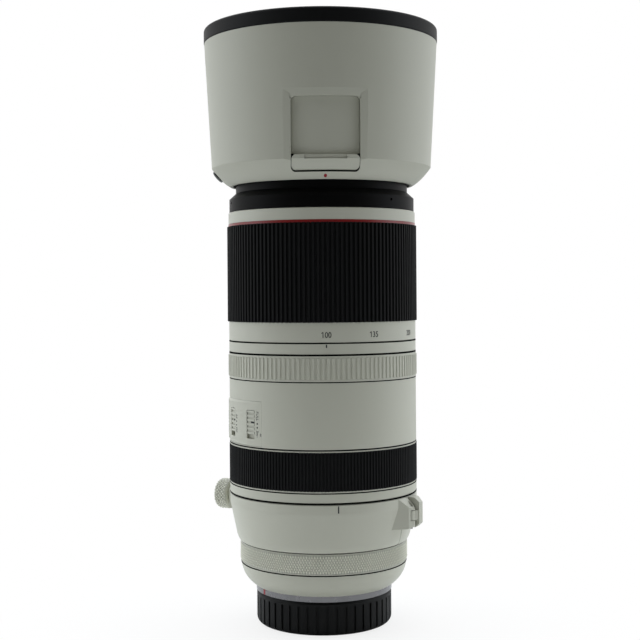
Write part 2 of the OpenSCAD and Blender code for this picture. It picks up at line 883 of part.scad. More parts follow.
// A ribbed rubber grip stretched over a sleeve
module rubber_grip(n, r, z, h, root_t) {
    color(RUBBER) difference() {
        translate([0, 0, z + seat]) linear_extrude(h - 2 * seat) polygon(ribbed(n, r, r - root_t));
        translate([0, 0, z - 1]) cylinder(r = sleeve_r + seat, h = h + 2, $fn = fine_bore);
    }
}

module focus_rubber() {
    rubber_grip(focus_ribs, focus_r, z_focus + focus_bead, focus_h, 0.6 * rib_t);
}

module torque_ring() {
    rim = 1;
    color(WHITE) difference() {
        union() {
            translate([0, 0, z_torque + rim]) linear_extrude(torque_h - 2 * rim)
                polygon(ribbed(torque_ribs, barrel_r + torque_rise, barrel_r));
            tube(barrel_r + 0.1, torque_neck_r, z_torque, z_torque + rim + 0.1);
            tube(barrel_r + 0.1, torque_neck_r, z_torque + torque_h - rim - 0.1, z_torque + torque_h);
        }
        translate([0, 0, z_torque - 1])
            cylinder(r = torque_neck_r + run, h = torque_h + 2, $fn = fine_bore);
    }
}

module zoom_sleeve() {
    color(WHITE) turned([[sleeve_in, z_zoom], [barrel_r - 0.3, z_zoom], [barrel_r, z_zoom + 0.3],
        [barrel_r, z_grip], [sleeve_r, z_grip], [sleeve_r, z_name], [barrel_r, z_name],
        [barrel_r, z_name + name_h - 0.4], [barrel_r - 0.4, z_name + name_h],
        [sleeve_in, z_name + name_h]]);
}

module zoom_rubber() {
    rubber_grip(grip_ribs, grip_r, z_grip, grip_h, rib_t);
}

module red_line() {
    color(RED) tube(barrel_r + 0.1, sleeve_r + seat, z_red + seat, z_name - seat);
}

// The helical slot that a follower runs in as the cam barrel turns
module cam_slot() {
    h = zoom_travel + 2 * (follower_r + slot_end);
    per_mm = zoom_turn / zoom_travel;
    start = -(follower_r + slot_end) * per_mm;
    translate([0, 0, follower_z - follower_r - slot_end])
        rotate([0, 0, start])
            linear_extrude(h, twist = -h * per_mm, slices = 36, $fn = 4)
                polygon([for (r = [cam_in - 1, cam_r + 1], s = [-1, 1])
                    around(r, (r < cam_r ? s : -s) * cam_slot_deg / 2)]);
}

module cam_barrel() {
    color(BRASS) difference() {
        turned([[cam_in, cam_z0], [cam_r, cam_z0], [cam_r, cam_z1 - cam_rim],
            [sleeve_in - seat, cam_z1 - cam_rim], [sleeve_in - seat, cam_z1], [cam_in, cam_z1]]);
        for (a = follower_at)
            at(a) cam_slot();
    }
}

module inner_barrel() {
    color(WHITE) difference() {
        tube(tube_r, bore_r, tube_z0, tube_z1);
        for (a = follower_at)
            outwards(a, bore_r - 1, follower_z) cylinder(r = follower_r + seat, h = tube_t + 2, $fn = 32);
    }
}

module cam_followers() {
    color(BRASS) for (a = follower_at)
        outwards(a, bore_r + 0.4, follower_z)
            cylinder(r = follower_r, h = cam_r - bore_r - 0.5, $fn = 32);
}

module front_ring() {
    z_skirt = z_front + skirt_h;
    color(BLACK) difference() {
        union() {
            turned([
                [tube_r + seat, z_front], [skirt_r, z_front], [skirt_r, z_skirt], [hood_neck_r, z_neck],
                [hood_neck_r, z_lens_end - 0.4], [hood_neck_r - 0.4, z_lens_end], [filter_r, z_lens_end],
                [filter_r, z_filter], [lens_seat_r, z_filter], [lens_seat_r, z_lens], [ledge_r, z_lens],
                [ledge_r, tube_z1 + seat], [tube_r + seat, tube_z1 + seat]
            ]);
            for (a = [60:120:300])
                intersection() {
                    tube(hood_neck_r + hood_lug_rise, hood_neck_r - 1, z_lug, z_lug + hood_lug_t);
                    sector(a - hood_lug_deg / 2, a + hood_lug_deg / 2, hood_neck_r + 4, z_lug - 1, z_lug + 4);
                }
        }
        // Blind holes of the set screws that lock the ring
        for (a = [set_screw_at:120:set_screw_at + 240])
            outwards(a, skirt_r - set_screw_deep, z_skirt - skirt_h / 3)
                cylinder(r = set_screw_r, h = set_screw_deep + 1, $fn = 24);
    }
}

module front_retainer() {
    r = lens_seat_r - seat;
    z_end = z_retainer + retainer_h;
    color(BLACK) turned([[retainer_in, z_retainer], [r, z_retainer], [r, z_end],
        [retainer_in + 1, z_end]]);
}

module front_lens() {
    dome_in = retainer_in - 0.2;
    rise = dome_r - sqrt(dome_r * dome_r - dome_in * dome_in);
    z_top = z_lens + seat + lens_t;
    color(GLASS) union() {
        translate([0, 0, z_lens + seat]) cylinder(r = front_lens_r, h = lens_t);
        intersection() {
            translate([0, 0, z_top - 1]) cylinder(r = dome_in, h = rise + 2);
            translate([0, 0, z_top + rise - dome_r]) sphere(dome_r);
        }
    }
}

module variator_cell() {
    z2 = variator_z + variator_h;
    color(BLACK) turned([[variator_r - 1.5, variator_z], [bore_r - run, variator_z], [bore_r - run, z2],
        [variator_r + seat, z2], [variator_r + seat, variator_z + 4], [variator_r - 1.5, variator_z + 4]]);
}

module variator_glass() {
    color(GLASS) lens_disc(variator_r, glass_t, 90, variator_z + 4);
}

// The whole collar ring before it is split
module collar_blank() {
    top = z_collar + collar_h;
    turned(concat(
        [[collar_in_r, z_collar]],
        bend([collar_foot_r - collar_edge[0], z_collar],
            [collar_foot_r - collar_edge[0] / 3.5, z_collar + collar_edge[1] / 3],
            [collar_foot_r, z_collar + collar_edge[1]], 6),
        [[collar_r - 0.1, top - collar_upright - 1], [collar_r, top - collar_upright],
            [collar_r, top - 0.5], [collar_r - 0.5, top], [collar_in_r, top]]
    ));
}

// One part of the split collar, between two angles from the hinge
module collar_part(from, to) {
    sector(from + split_half, to - split_half, 2 * foot_reach, z_collar - 5, z_collar + collar_h + 5);
}

// The front leaf in plan
module front_leaf_plan() {
    polygon([[-leaf_run, -leaf_in_r], [-leaf_shoulder[0], -hinge_r - leaf_shoulder[1]],
        [-leaf_crown[0], -hinge_r - leaf_crown[1]], [-split / 2, -hinge_r], [-split / 2, -leaf_in_r]]);
}

// The rear leaf in plan, which stands higher than the front one
module rear_leaf_plan() {
    polygon([[rear_leaf_run, -leaf_in_r], [rear_leaf_shoulder[0], -hinge_r - rear_leaf_shoulder[1]],
        [0, -hinge_r - rear_leaf_shoulder[1]], [0, -leaf_in_r]]);
}

// The round knuckle
module knuckle_plan() {
    translate([0, -hinge_r]) circle(knuckle_r, $fn = 48);
}

// Room that the front leaf may fill, with a sloping upper end and a bevelled lower one
module front_leaf_room() {
    r0 = hinge_r + leaf_low[0];
    r1 = r0 + 4;
    turned([[1, z_hinge], [r0, z_hinge], [r1, z_hinge + 4 * leaf_low[1]],
        [r1, z_hinge_end - (r1 - collar_r) * leaf_top_fall], [collar_r, z_hinge_end], [1, z_hinge_end]]);
}

// Room that the rear leaf may fill, bevelled at both ends
module rear_leaf_room() {
    r0 = hinge_r + rear_leaf_low[0];
    r1 = hinge_r + rear_leaf_top[0];
    r2 = hinge_r + 6;
    turned([[1, z_hinge], [r0, z_hinge], [r2, z_hinge + (r2 - r0) * rear_leaf_low[1]],
        [r2, z_hinge_end - (r2 - r1) * rear_leaf_top[1]], [r1, z_hinge_end], [1, z_hinge_end]]);
}

// Everything on a leaf's side that is clear of the other leaf's knuckle
module clear_of_knuckle(side) {
    clear = knuckle_r + run;
    translate([side > 0 ? clear : -clear - foot_reach, -2 * foot_reach, z_collar])
        cube([foot_reach, 4 * foot_reach, collar_h]);
}

// A length of the hinge, cut from its plan
module hinge_length(z, h) {
    translate([0, 0, z]) linear_extrude(h) children();
}

module hinge_bore(r) {
    translate([0, -hinge_r, z_collar]) cylinder(r = r, h = collar_h, $fn = 48);
}

module collar_front_half() {
    z_mid = z_hinge + hinge_low_h;
    z_up = z_mid + hinge_mid_h + run / 2;
    strap_z = knob_z - strap_h / 2;
    color(WHITE) at(hinge_turn) difference() {
        union() {
            intersection() {
                union() {
                    collar_blank();
                    intersection() {
                        hinge_length(z_hinge, z_hinge_end - z_hinge) front_leaf_plan();
                        front_leaf_room();
                    }
                }
                collar_part(clamp_at, 360);
                union() {
                    clear_of_knuckle(-1);
                    tube(hinge_r - knuckle_r - run, 1, z_collar, z_collar + collar_h);
                }
            }
            intersection() {
                union() {
                    hinge_length(z_hinge, hinge_low_h - run / 2) {
                        knuckle_plan();
                        front_leaf_plan();
                    }
                    hinge_length(z_up, z_hinge_end - z_up) {
                        knuckle_plan();
                        front_leaf_plan();
                    }
                }
                front_leaf_room();
            }
            intersection() {
                tube(strap_r, collar_in_r + 2, strap_z, strap_z + strap_h);
                sector(clamp_at + split_half, clamp_at + strap_root, 2 * foot_reach, z_collar, z_fixed);
            }
            intersection() {
                tube(strap_r, strap_in_r, strap_z, strap_z + strap_h);
                sector(clamp_at - strap_over, clamp_at + 1, 2 * foot_reach, z_collar, z_fixed);
            }
        }
        hinge_bore(hinge_pin_r + pin_fit);
        intersection() {
            tube(strap_r + 1, collar_r + strap_lift / 2, knob_z - stud_r - run, knob_z + stud_r + run);
            sector(clamp_at - strap_over - 1, clamp_at - knob_back + 3.2, 2 * foot_reach, z_collar, z_fixed);
        }
    }
}

module collar_rear_half() {
    z_mid = z_hinge + hinge_low_h + run / 2;
    pad_z = knob_z - strap_h / 2 - 1.4;
    color(WHITE) difference() {
        union() {
            at(hinge_turn) {
                intersection() {
                    union() {
                        collar_blank();
                        intersection() {
                            hinge_length(z_hinge, z_hinge_end - z_hinge) rear_leaf_plan();
                            rear_leaf_room();
                            clear_of_knuckle(1);
                        }
                        intersection() {
                            tube(collar_r, collar_in_r + 1, pad_z, z_collar + collar_h - 0.5);
                            sector(clamp_at - strap_over - pad_over, clamp_at, 2 * foot_reach,
                                z_collar, z_fixed);
                        }
                    }
                    collar_part(0, clamp_at);
                }
                hinge_length(z_mid, hinge_mid_h - run) {
                    knuckle_plan();
                    polygon([[split / 2, -leaf_in_r], [split / 2, -hinge_r - leaf_crown[1]],
                        [knuckle_r + 1, -hinge_r - rear_leaf_shoulder[1]], [knuckle_r + 1, -leaf_in_r]]);
                }
            }
            at(foot_turn) translate([-foot_leg_w / 2 - 2, -foot_pad_r, leg_z0 - 1])
                cube([foot_leg_w + 4, foot_pad_r - collar_in_r - 2, leg_z1 - leg_z0 + 2]);
        }
        at(hinge_turn) {
            hinge_bore(hinge_pin_r + seat);
            outwards(clamp_at - knob_back, collar_in_r - 2, knob_z)
                cylinder(r = stud_r + pin_fit, h = strap_r - collar_in_r + 4, $fn = 48);
        }
    }
}

module collar_hinge_pin() {
    over = 0.3;
    z_end = z_hinge_end - (hinge_r + hinge_pin_r - collar_r) * leaf_top_fall;
    color(STEEL) at(hinge_turn) translate([0, -hinge_r, z_hinge - over])
        cylinder(r = hinge_pin_r, h = z_end - z_hinge + over, $fn = 48);
}

module collar_knob() {
    a0 = strap_r + run;
    a1 = a0 + knob_neck_h;
    a2 = a1 + knob_t;
    color(WHITE) at(hinge_turn) outwards(clamp_at - knob_back, 0, knob_z)
        turned(concat(
            [[0, stud_tip_r], [stud_r, stud_tip_r], [stud_r, a0], [knob_neck_r, a0], [knob_neck_r, a1],
                [knob_r - 0.8, a1], [knob_r, a1 + 0.8]],
            arc([knob_r - knob_edge, a2 - knob_edge], knob_edge, 0, 90),
            [[0, a2]]
        ));
}

// Side outline of the foot, as distance from the axis and height
module foot_side() {
    plate_in = foot_reach - foot_t;
    z_end = z_foot + foot_l;
    polygon(concat(
        [[foot_pad_r + seat, leg_z0]],
        bend([foot_pad_r + 4, leg_z0 - 0.5], [plate_in - 2, z_foot + 2], [plate_in + 1, z_foot]),
        [[foot_reach - foot_edge, z_foot], [foot_reach, z_foot + foot_edge],
            [foot_reach, z_end - foot_edge], [foot_reach - foot_edge, z_end],
            [plate_in + foot_edge, z_end], [plate_in, z_end - foot_edge]],
        bend([plate_in, z_foot + 0.62 * foot_l], [plate_in - 1, leg_z1 + 2], [foot_pad_r + 6, leg_z1]),
        [[foot_pad_r + seat, leg_z1]]
    ));
}

// The foot's side outline given a width
module foot_slab(w) {
    translate([w / 2, 0, 0]) rotate([0, -90, 0]) linear_extrude(w)
        rotate(90) mirror([1, 0]) mirror([0, 1]) foot_side();
}

module tripod_foot() {
    color(WHITE) at(foot_turn) difference() {
        union() {
            foot_slab(foot_leg_w);
            intersection() {
                foot_slab(foot_w);
                translate([0, -foot_reach + foot_t, z_foot + foot_l / 2]) rotate([90, 0, 0])
                    linear_extrude(foot_t + 1) rounded(foot_w, foot_l, foot_corner);
            }
        }
        translate([0, -foot_reach - 1, z_foot + tripod_at]) rotate([-90, 0, 0])
            cylinder(r = tripod_r, h = tripod_deep + 1, $fn = 48);
    }
}

// Outer profile of the hood, from its lower edge to the top of its cone
function hood_outside(in = [0, 0], t = 0) =
    let (foot = [bowl_foot_r, z_hood] + in, crease = [crease_r - t, z_crease] + [0, in[1] / 2])
    concat(
        bend(foot, [bowl_foot_r + bowl_bulge[0], z_hood + bowl_bulge[1]] + in, crease),
        [[cone_top_r - t, z_rim]]
    );

// A cone parallel to the hood's wall, a distance inside its outer face
module hood_cone(inset, z0, z1) {
    translate([0, 0, z0])
        cylinder(r1 = cone_r(z0) - inset, r2 = cone_r(z1) - inset, h = z1 - z0);
}

// A band of the hood's wall between two depths
module hood_band(inset, t, z0, z1) {
    difference() {
        hood_cone(inset, z0, z1);
        translate([0, 0, -0.01]) hood_cone(inset + t, z0, z1 + 0.02);
    }
}

// Everything in front of the window, within a width and a range of heights
module front_slab(w, z0, z1) {
    translate([-w / 2, -2 * crease_r, z0]) cube([w, 2 * crease_r, z1 - z0]);
}

// A prism through the hood's front wall
module window_prism(w, h, z, corner) {
    translate([0, -crease_r / 2, z + h / 2]) rotate([90, 0, 0])
        linear_extrude(crease_r) rounded(w, h, corner);
}

// A flat cut across the hood's wall, square to a radius and parallel to the cone
module wall_flat(angle, half) {
    z0 = z_crease - 3;
    at(angle) translate([0, -cone_r(z0) * cos(half), z0]) rotate([atan(cone_slope), 0, 0])
        translate([-crease_r / 2, -10, 0]) cube([crease_r, 10, window_h + 10]);
}

// Sloping faces that lead into the window from its sides and from above
module window_surround() {
    z_low = z_crease - 5;
    z_edge = z_window + window_h;
    z_end = z_edge + surround_h;
    r_end = cone_r(z_end) + 0.1;
    lean = surround_t / surround_h + cone_slope;
    intersection() {
        union() {
            for (side = [-1, 1])
                wall_flat(side * surround_at, surround_half);
            front_slab(window_w + 0.8, z_edge - window_corner / 2, z_end + 1);
        }
        turned([[r_end - (z_end - z_low) * lean, z_low], [2 * crease_r, z_low], [2 * crease_r, z_end],
            [r_end, z_end]]);
    }
}

// Turns a feature to the release button, square to the bowl
module at_button(depth) {
    curve = hood_outside();
    p = curve[round(button_mid * 8)];
    q = curve[round(button_mid * 8) + 1];
    slope = atan2(q[1] - p[1], q[0] - p[0]);
    mid = (p + q) / 2;
    outwards(button_at, mid[0], mid[1]) rotate([90 - slope, 0, 0]) translate([0, 0, depth]) children();
}

module hood_shell() {
    half = window_w / 2 + door_lap + door_gap;
    channel_t = door_t + 2 * door_gap;
    floor_in = hood_outside(in = [-bowl_inset[0], bowl_inset[1]], t = hood_t);
    color(WHITE) difference() {
        union() {
            turned(concat(
                [[lip_in, z_hood]],
                hood_outside(),
                [for (i = [len(floor_in) - 1:-1:2]) floor_in[i]],
                [[bayonet_r + seat, floor_in[2][1]], [bayonet_r + seat, z_hood + lip_t],
                    [lip_in, z_hood + lip_t]]
            ));
            // Rails that hold the window door against the wall
            difference() {
                intersection() {
                    hood_band(hood_t - rail_root, rail_root + channel_t + rail_lip, z_door, rail_top);
                    for (side = [-1, 1])
                        translate([side * (half + (rail_w - rail_grip) / 2), 0, 0])
                            front_slab(rail_w + rail_grip, z_door - 1, rail_top + 1);
                }
                intersection() {
                    hood_band(hood_t, channel_t, z_door - 2, rail_top + 2);
                    front_slab(2 * half, z_door - 2, rail_top + 2);
                }
            }
        }
        window_prism(window_w, window_h, z_window, window_corner);
        window_surround();
        at_button(-hood_t - 2)
            linear_extrude(hood_t + 4) rounded(button_l + 2 * button_slack, button_w + 2 * button_slack,
                button_w / 2 - 0.2);
    }
}

module hood_rim() {
    out = cone_top_r + rim_rise;
    color(BLACK) turned(concat(
        [[out - rim_t, z_rim + seat], [out - rim_rise, z_rim + seat], [out, z_rim + 0.6]],
        arc([out - rim_round, z_top - rim_round], rim_round, 0, 90),
        [[out - rim_t + 0.4, z_top], [out - rim_t, z_top - 0.4]]
    ));
}

module hood_lining() {
    half = window_w / 2 + door_lap + door_gap + rail_w + 0.3;
    color(RUBBER) difference() {
        hood_band(hood_t + lining_gap, lining_t, z_crease + 3.2, z_rim - 0.2);
        front_slab(2 * half, z_crease, rail_top + 0.5);
    }
}

module hood_bayonet() {
    z0 = z_hood + lip_t + seat;
    color(BLACK) difference() {
        turned([[bayonet_in, z0], [bayonet_r, z0], [bayonet_r, z_bayonet_top], [bayonet_in, z_bayonet_top],
            [bayonet_in, z_lug + hood_lug_t + run], [lip_in, z_lug + hood_lug_t + run],
            [lip_in, z_lug - run], [bayonet_in, z_lug - run]]);
        // Entries that the lugs pass through once the hood has been turned to unlock it
        for (a = [60:120:300])
            at(a - hood_unlock) intersection() {
                tube(lip_in + 0.1, bayonet_in - 1, z0 - 1, z_lug);
                sector(-entry_deg / 2, entry_deg / 2, bayonet_r, z0 - 1, z_lug);
            }
        // Room for the release button's flange when it is pressed
        at_button(-button_back - button_travel - run)
            linear_extrude(button_back)
                rounded(button_l + 2 * (button_flange + run), button_w + 2 * (button_flange + run),
                    button_w / 2);
    }
}

module hood_door() {
    z_tab = z_window + tab_lift;
    panel_half = window_w / 2 + door_lap;
    tab_w = window_w - 2 * window_gap;
    neck_half = tab_w / 2 - 1;
    z_neck_end = z_bayonet_top + run;
    notch_w = 19.5;
    notch_h = 2;
    notch_t = 0.9;
    z_notch = z_tab + tab_h - notch_h;
    color(WHITE) difference() {
        union() {
            // Panel behind the wall, with a narrower end that reaches down to the tab
            intersection() {
                hood_band(hood_t + door_gap, door_t, z_neck_end, door_top);
                rotate([90, 0, 0]) linear_extrude(2 * crease_r)
                    polygon([[-neck_half, z_neck_end - 1], [neck_half, z_neck_end - 1],
                        [neck_half, z_door], [panel_half, z_door], [panel_half, door_top + 1],
                        [-panel_half, door_top + 1], [-panel_half, z_door], [-neck_half, z_door]]);
            }
            // Thumb tab, flush with the hood's outside
            intersection() {
                turned(concat([[bowl_foot_r - tab_t, z_hood]], hood_outside(),
                    [[cone_top_r - tab_t, z_rim], [crease_r - tab_t, z_crease]]));
                window_prism(tab_w, tab_h, z_tab, window_corner - window_gap);
            }
        }
        // Room round the bayonet, behind the tab
        translate([0, 0, z_hood]) cylinder(r = tab_in_r, h = z_neck_end - z_hood);
        // Finger notch in the tab's upper edge
        intersection() {
            hood_band(-1, 1 + notch_t, z_notch, z_notch + notch_h + 1);
            front_slab(notch_w, z_notch - 1, z_notch + notch_h + 2);
        }
    }
}

module hood_button() {
    color(BLACK) union() {
        at_button(-hood_t - button_flange_t)
            linear_extrude(hood_t + button_flange_t + button_rise)
                rounded(button_l, button_w, button_w / 2 - 0.4);
        at_button(-button_back)
            linear_extrude(button_flange_t)
                rounded(button_l + 2 * button_flange, button_w + 2 * button_flange, button_w / 2);
    }
}

rear_cap();
lens_mount();
mount_screws();
contact_block();
contact_pins();
rear_baffle();
rear_cover();
rear_barrel();
rear_cell();
rear_glass();
guide_rods();
focus_motor();
focus_carriage();
focus_glass();
iris_base();
iris_ring();
for (i = [1:blades])
    iris_blade(i - 1);
guide_tube();
main_barrel();
switch_panel();
for (i = [1:4])
    switch_slider(i - 1);
control_ring();
focus_sleeve();
focus_rubber();
torque_ring();
zoom_sleeve();
zoom_rubber();
red_line();
cam_barrel();
inner_barrel();
cam_followers();
front_ring();
front_retainer();
front_lens();
variator_cell();
variator_glass();
collar_rear_half();
collar_front_half();
collar_hinge_pin();
collar_knob();
tripod_foot();
hood_shell();
hood_rim();
hood_lining();
hood_bayonet();
hood_door();
hood_button();
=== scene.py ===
"""Looks of a telephoto zoom lens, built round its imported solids.

Metres. The optical axis is +Z and the side with the zoom index faces -Y.
Angles round the barrel run from -Y towards +X.
"""

import json
import math

import bmesh
import bpy
from bpy.props import FloatProperty, FloatVectorProperty, PointerProperty
from mathutils import Matrix, Vector
from mathutils.bvhtree import BVHTree


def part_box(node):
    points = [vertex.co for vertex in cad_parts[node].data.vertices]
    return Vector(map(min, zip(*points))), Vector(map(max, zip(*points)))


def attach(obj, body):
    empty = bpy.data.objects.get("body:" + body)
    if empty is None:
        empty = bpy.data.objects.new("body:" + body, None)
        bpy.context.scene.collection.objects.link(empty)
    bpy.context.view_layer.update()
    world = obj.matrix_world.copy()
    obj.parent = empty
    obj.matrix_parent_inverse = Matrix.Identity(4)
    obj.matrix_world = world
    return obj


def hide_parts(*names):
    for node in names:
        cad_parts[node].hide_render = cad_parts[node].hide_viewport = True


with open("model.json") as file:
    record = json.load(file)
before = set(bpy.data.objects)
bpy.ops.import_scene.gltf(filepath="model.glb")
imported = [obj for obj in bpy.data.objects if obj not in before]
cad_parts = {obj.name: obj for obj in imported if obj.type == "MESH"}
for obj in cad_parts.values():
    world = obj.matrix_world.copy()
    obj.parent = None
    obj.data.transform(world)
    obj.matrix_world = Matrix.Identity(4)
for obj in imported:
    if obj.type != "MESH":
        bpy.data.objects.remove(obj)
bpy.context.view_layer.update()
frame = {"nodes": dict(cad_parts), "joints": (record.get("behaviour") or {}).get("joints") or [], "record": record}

bl_info = {
    "name": "Telephoto Zoom Lens",
    "version": (1, 0, 0),
    "blender": (4, 5, 0),
    "location": "View3D > Sidebar > Lens",
    "description": "Finishes, knurls, scales and marks of a telephoto zoom lens",
    "category": "Object",
}

MM = 0.001
HAIR = 0.02 * MM  # step that keeps the faces of two pieces from lying in one another
GROOVE = 0.01 * MM  # height of a knurl's grooves over the solid
ROOT = 0.15 * MM  # depth of a knurl's back inside the solid
JOINTS = {joint["name"]: joint for joint in frame["joints"]}
SLOT_OF = {part["node"]: part["material_slot"] for part in frame["record"]["subparts"]}


def linear(code):
    """The linear colour of an sRGB hex value."""
    parts = [int(code[i:i + 2], 16) / 255 for i in (1, 3, 5)]
    return [c / 12.92 if c <= 0.04045 else ((c + 0.055) / 1.055) ** 2.4 for c in parts] + [1.0]


def colour(name, code, description):
    """A colour that a user may change."""
    return FloatVectorProperty(name=name, description=description, subtype="COLOR", size=4,
                               min=0.0, max=1.0, default=linear(code))


def length(name, millimetres, description):
    """A size that a user may change."""
    return FloatProperty(name=name, description=description, unit="LENGTH", min=0.0,
                         precision=5, default=millimetres * MM)


class LensColours(bpy.types.PropertyGroup):
    """Colours of the finishes."""

    barrel_paint: colour("Barrel paint", "#c4c4b5", "Baked paint on the metal barrel")
    hood_paint: colour("Hood paint", "#c0c0b1", "Paint on the moulded hood")
    rubber: colour("Rubber", "#0b0c0c", "Grip rubber")
    plastic: colour("Black plastic", "#0f1010", "Moulded black plastic")
    button: colour("Button", "#3b3d39", "Release button of the hood, rubbed grey")
    anodised: colour("Black anodising", "#050505", "Anodised front ring")
    flock: colour("Flocking", "#0b0b0b", "Lining of the hood")
    red_lacquer: colour("Red line", "#860b0a", "Lacquered line above the zoom grip")
    steel: colour("Mount metal", "#7d7c7d", "Polished mount, screws and pins")
    gold: colour("Contact plating", "#d9b36a", "Plated contacts")
    aluminium: colour("Tube metal", "#6c6d6e", "Guide tube and cam barrel")
    brass: colour("Brass", "#c39a55", "Cam followers")
    blade: colour("Blade steel", "#232425", "Iris blades")
    glass: colour("Glass", "#eef2f6", "Optical glass")
    black_ink: colour("Black ink", "#1b1b1a", "Figures and marks")
    red_ink: colour("Red ink", "#8f0f1c", "Red alignment marks")
    felt: colour("Felt", "#0a0a09", "Sealing rings in the joints")
    floor: colour("Floor", "#e4e4e2", "Studio floor")


class LensSizes(bpy.types.PropertyGroup):
    """Sizes of the printed and cut details."""

    knurl_pitch: length("Knurl pitch", 1.3, "Width of one point of the diamond knurl")
    knurl_depth: length("Knurl depth", 0.38, "Height of the knurl's points")
    joint: length("Joint", 0.3, "Width of the joints between the barrel's rings")
    dome: length("Button dome", 0.85, "Height of the dome on the hood's button")
    pile: length("Pile", 0.15, "Height of the flock on the floor of the hood")
    figure: length("Scale figures", 2.7, "Height of the figures on the zoom scale")
    label: length("Switch labels", 1.5, "Height of the letters beside the switches")
    switch_at: FloatProperty(name="First switch", default=-50,
                             description="Angle of the first switch in degrees")
    switch_step: FloatProperty(name="Switch step", default=21,
                               description="Angle between switches in degrees")
    ink: length("Ink", 0.03, "Thickness of the printed ink")
    filter_pitch: length("Filter thread pitch", 0.75, "Pitch of the filter thread")
    tripod_pitch: length("Tripod thread pitch", 1.27, "Pitch of the tripod thread")


def add(tree, kind, inputs=None, **settings):
    """Adds a node with its settings, and sets or links its inputs."""
    node = tree.nodes.new(kind)
    for name, value in settings.items():
        setattr(node, name, value)
    for name, value in (inputs or {}).items():
        if isinstance(value, bpy.types.NodeSocket):
            tree.links.new(value, node.inputs[name])
        else:
            node.inputs[name].default_value = value
    return node


def per(millimetres):
    """The texture scale that makes a pattern this size."""
    return 1 / (millimetres * MM)


def start(name):
    """A new material's node tree and the place on the object that its patterns follow."""
    material = bpy.data.materials.new(name)
    material.use_nodes = True
    tree = material.node_tree
    tree.nodes.clear()
    place = add(tree, "ShaderNodeTexCoord").outputs["Object"]
    return tree, place


def show(tree, **inputs):
    """Ends a material with its main shader."""
    names = {name.replace("_", " "): value for name, value in inputs.items()}
    shader = add(tree, "ShaderNodeBsdfPrincipled", names)
    add(tree, "ShaderNodeOutputMaterial", {"Surface": shader.outputs[0]})


def mottle(tree, place, tint, size, amount):
    """A colour that drifts a little lighter and darker over the surface."""
    cloud = add(tree, "ShaderNodeTexNoise", {"Vector": place, "Scale": per(size), "Detail": 3.0})
    low = [c * (1 - amount) for c in tint[:3]] + [1.0]
    high = [min(1.0, c * (1 + amount)) for c in tint[:3]] + [1.0]
    return add(tree, "ShaderNodeMix", {0: cloud.outputs["Fac"], 6: low, 7: high},
               data_type="RGBA").outputs[2]


def grain(tree, place, size, depth, detail=2.0):
    """A normal roughened by a moulded or sprayed grain, and the grain itself."""
    cloud = add(tree, "ShaderNodeTexNoise", {"Vector": place, "Scale": per(size), "Detail": detail})
    bump = add(tree, "ShaderNodeBump", {"Height": cloud.outputs["Fac"], "Distance": depth * MM})
    return bump.outputs[0], cloud.outputs["Fac"]


def between(tree, value, low, high):
    """A number spread over a range by a pattern."""
    return add(tree, "ShaderNodeMapRange", {"Value": value, "From Min": 0.3, "From Max": 0.7,
                                            "To Min": low, "To Max": high}).outputs[0]


def crevice_shade_and_dust(tree, tint, shade_and_dust_amount, reach):
    """A colour darkened by painted shade where the surface is occluded and two pieces meet; also meant as the dust
    and skin oil there.
    """
    shade = add(tree, "ShaderNodeAmbientOcclusion", {"Distance": reach * MM}, samples=6)
    amount = add(tree, "ShaderNodeMapRange", {"Value": shade.outputs["AO"], "From Min": 0.25,
                                              "From Max": 0.85, "To Min": shade_and_dust_amount, "To Max": 0.0})
    # Painted shade: occluded corners and joints take this dark tone.
    shade_tone = [0.05, 0.05, 0.045, 1.0]
    return add(tree, "ShaderNodeMix", {0: amount.outputs[0], 6: tint, 7: shade_tone},
               data_type="RGBA").outputs[2]


def baked_paint(tint):
    # Heat-reflecting enamel sprayed on magnesium and baked: satin, with a fine orange peel.
    # The peel is about 0.2 mm and is drawn at 0.5 mm so that it shows.
    tree, place = start("baked enamel on magnesium")
    cloudy = mottle(tree, place, tint, 45, 0.025)
    bump, peel = grain(tree, place, 0.5, 0.012)
    # The base colour carries painted shade in occluded corners and joints.
    show(tree, Base_Color=crevice_shade_and_dust(tree, cloudy, 0.55, 0.7), Normal=bump,
         Roughness=between(tree, peel, 0.40, 0.50), Specular_IOR_Level=0.45)


def knurled_paint(tint):
    # The same enamel over a rolled diamond knurl, with a painted highlight on the points and painted shade in the
    # grooves.
    tree, place = start("baked enamel on a knurl")
    bump, peel = grain(tree, place, 0.5, 0.012)
    groove = add(tree, "ShaderNodeAttribute", attribute_name="groove").outputs["Fac"]
    groove_shade = add(tree, "ShaderNodeMapRange", {"Value": groove, "From Min": 0.35, "From Max": 1.0,
                                            "To Max": 0.6})
    # Painted highlight on the knurl's points and painted shade in its grooves.
    tip_highlight = [min(1.0, c * 1.35) for c in tint[:3]] + [1.0]
    shade_tone = [c * 0.42 for c in tint[:3]] + [1.0]
    shade_and_highlight = add(tree, "ShaderNodeMix", {0: groove_shade.outputs[0], 6: tip_highlight, 7: shade_tone}, data_type="RGBA")
    show(tree, Base_Color=shade_and_highlight.outputs[2], Normal=bump, Roughness=between(tree, peel, 0.40, 0.50),
         Specular_IOR_Level=0.45)


def painted_polycarbonate(tint):
    # Moulded hood sprayed to match the barrel: a little flatter, with a finer grain.
    tree, place = start("painted polycarbonate")
    cloudy = mottle(tree, place, tint, 60, 0.03)
    bump, peel = grain(tree, place, 0.4, 0.014, 3.0)
    # The base colour carries painted shade in occluded corners and joints.
    show(tree, Base_Color=crevice_shade_and_dust(tree, cloudy, 0.5, 0.8), Normal=bump,
         Roughness=between(tree, peel, 0.46, 0.56), Specular_IOR_Level=0.4)


def moulded_rubber(tint):
    # Moulded nitrile rubber: flat black, sparkled by tool grain, a trace of dust in the grooves.
    tree, place = start("moulded rubber")
    bump, grit = grain(tree, place, 0.35, 0.03, 4.0)
    dusty = mottle(tree, place, tint, 12, 0.18)
    show(tree, Base_Color=dusty, Normal=bump, Roughness=between(tree, grit, 0.58, 0.72),
         Specular_IOR_Level=0.2)


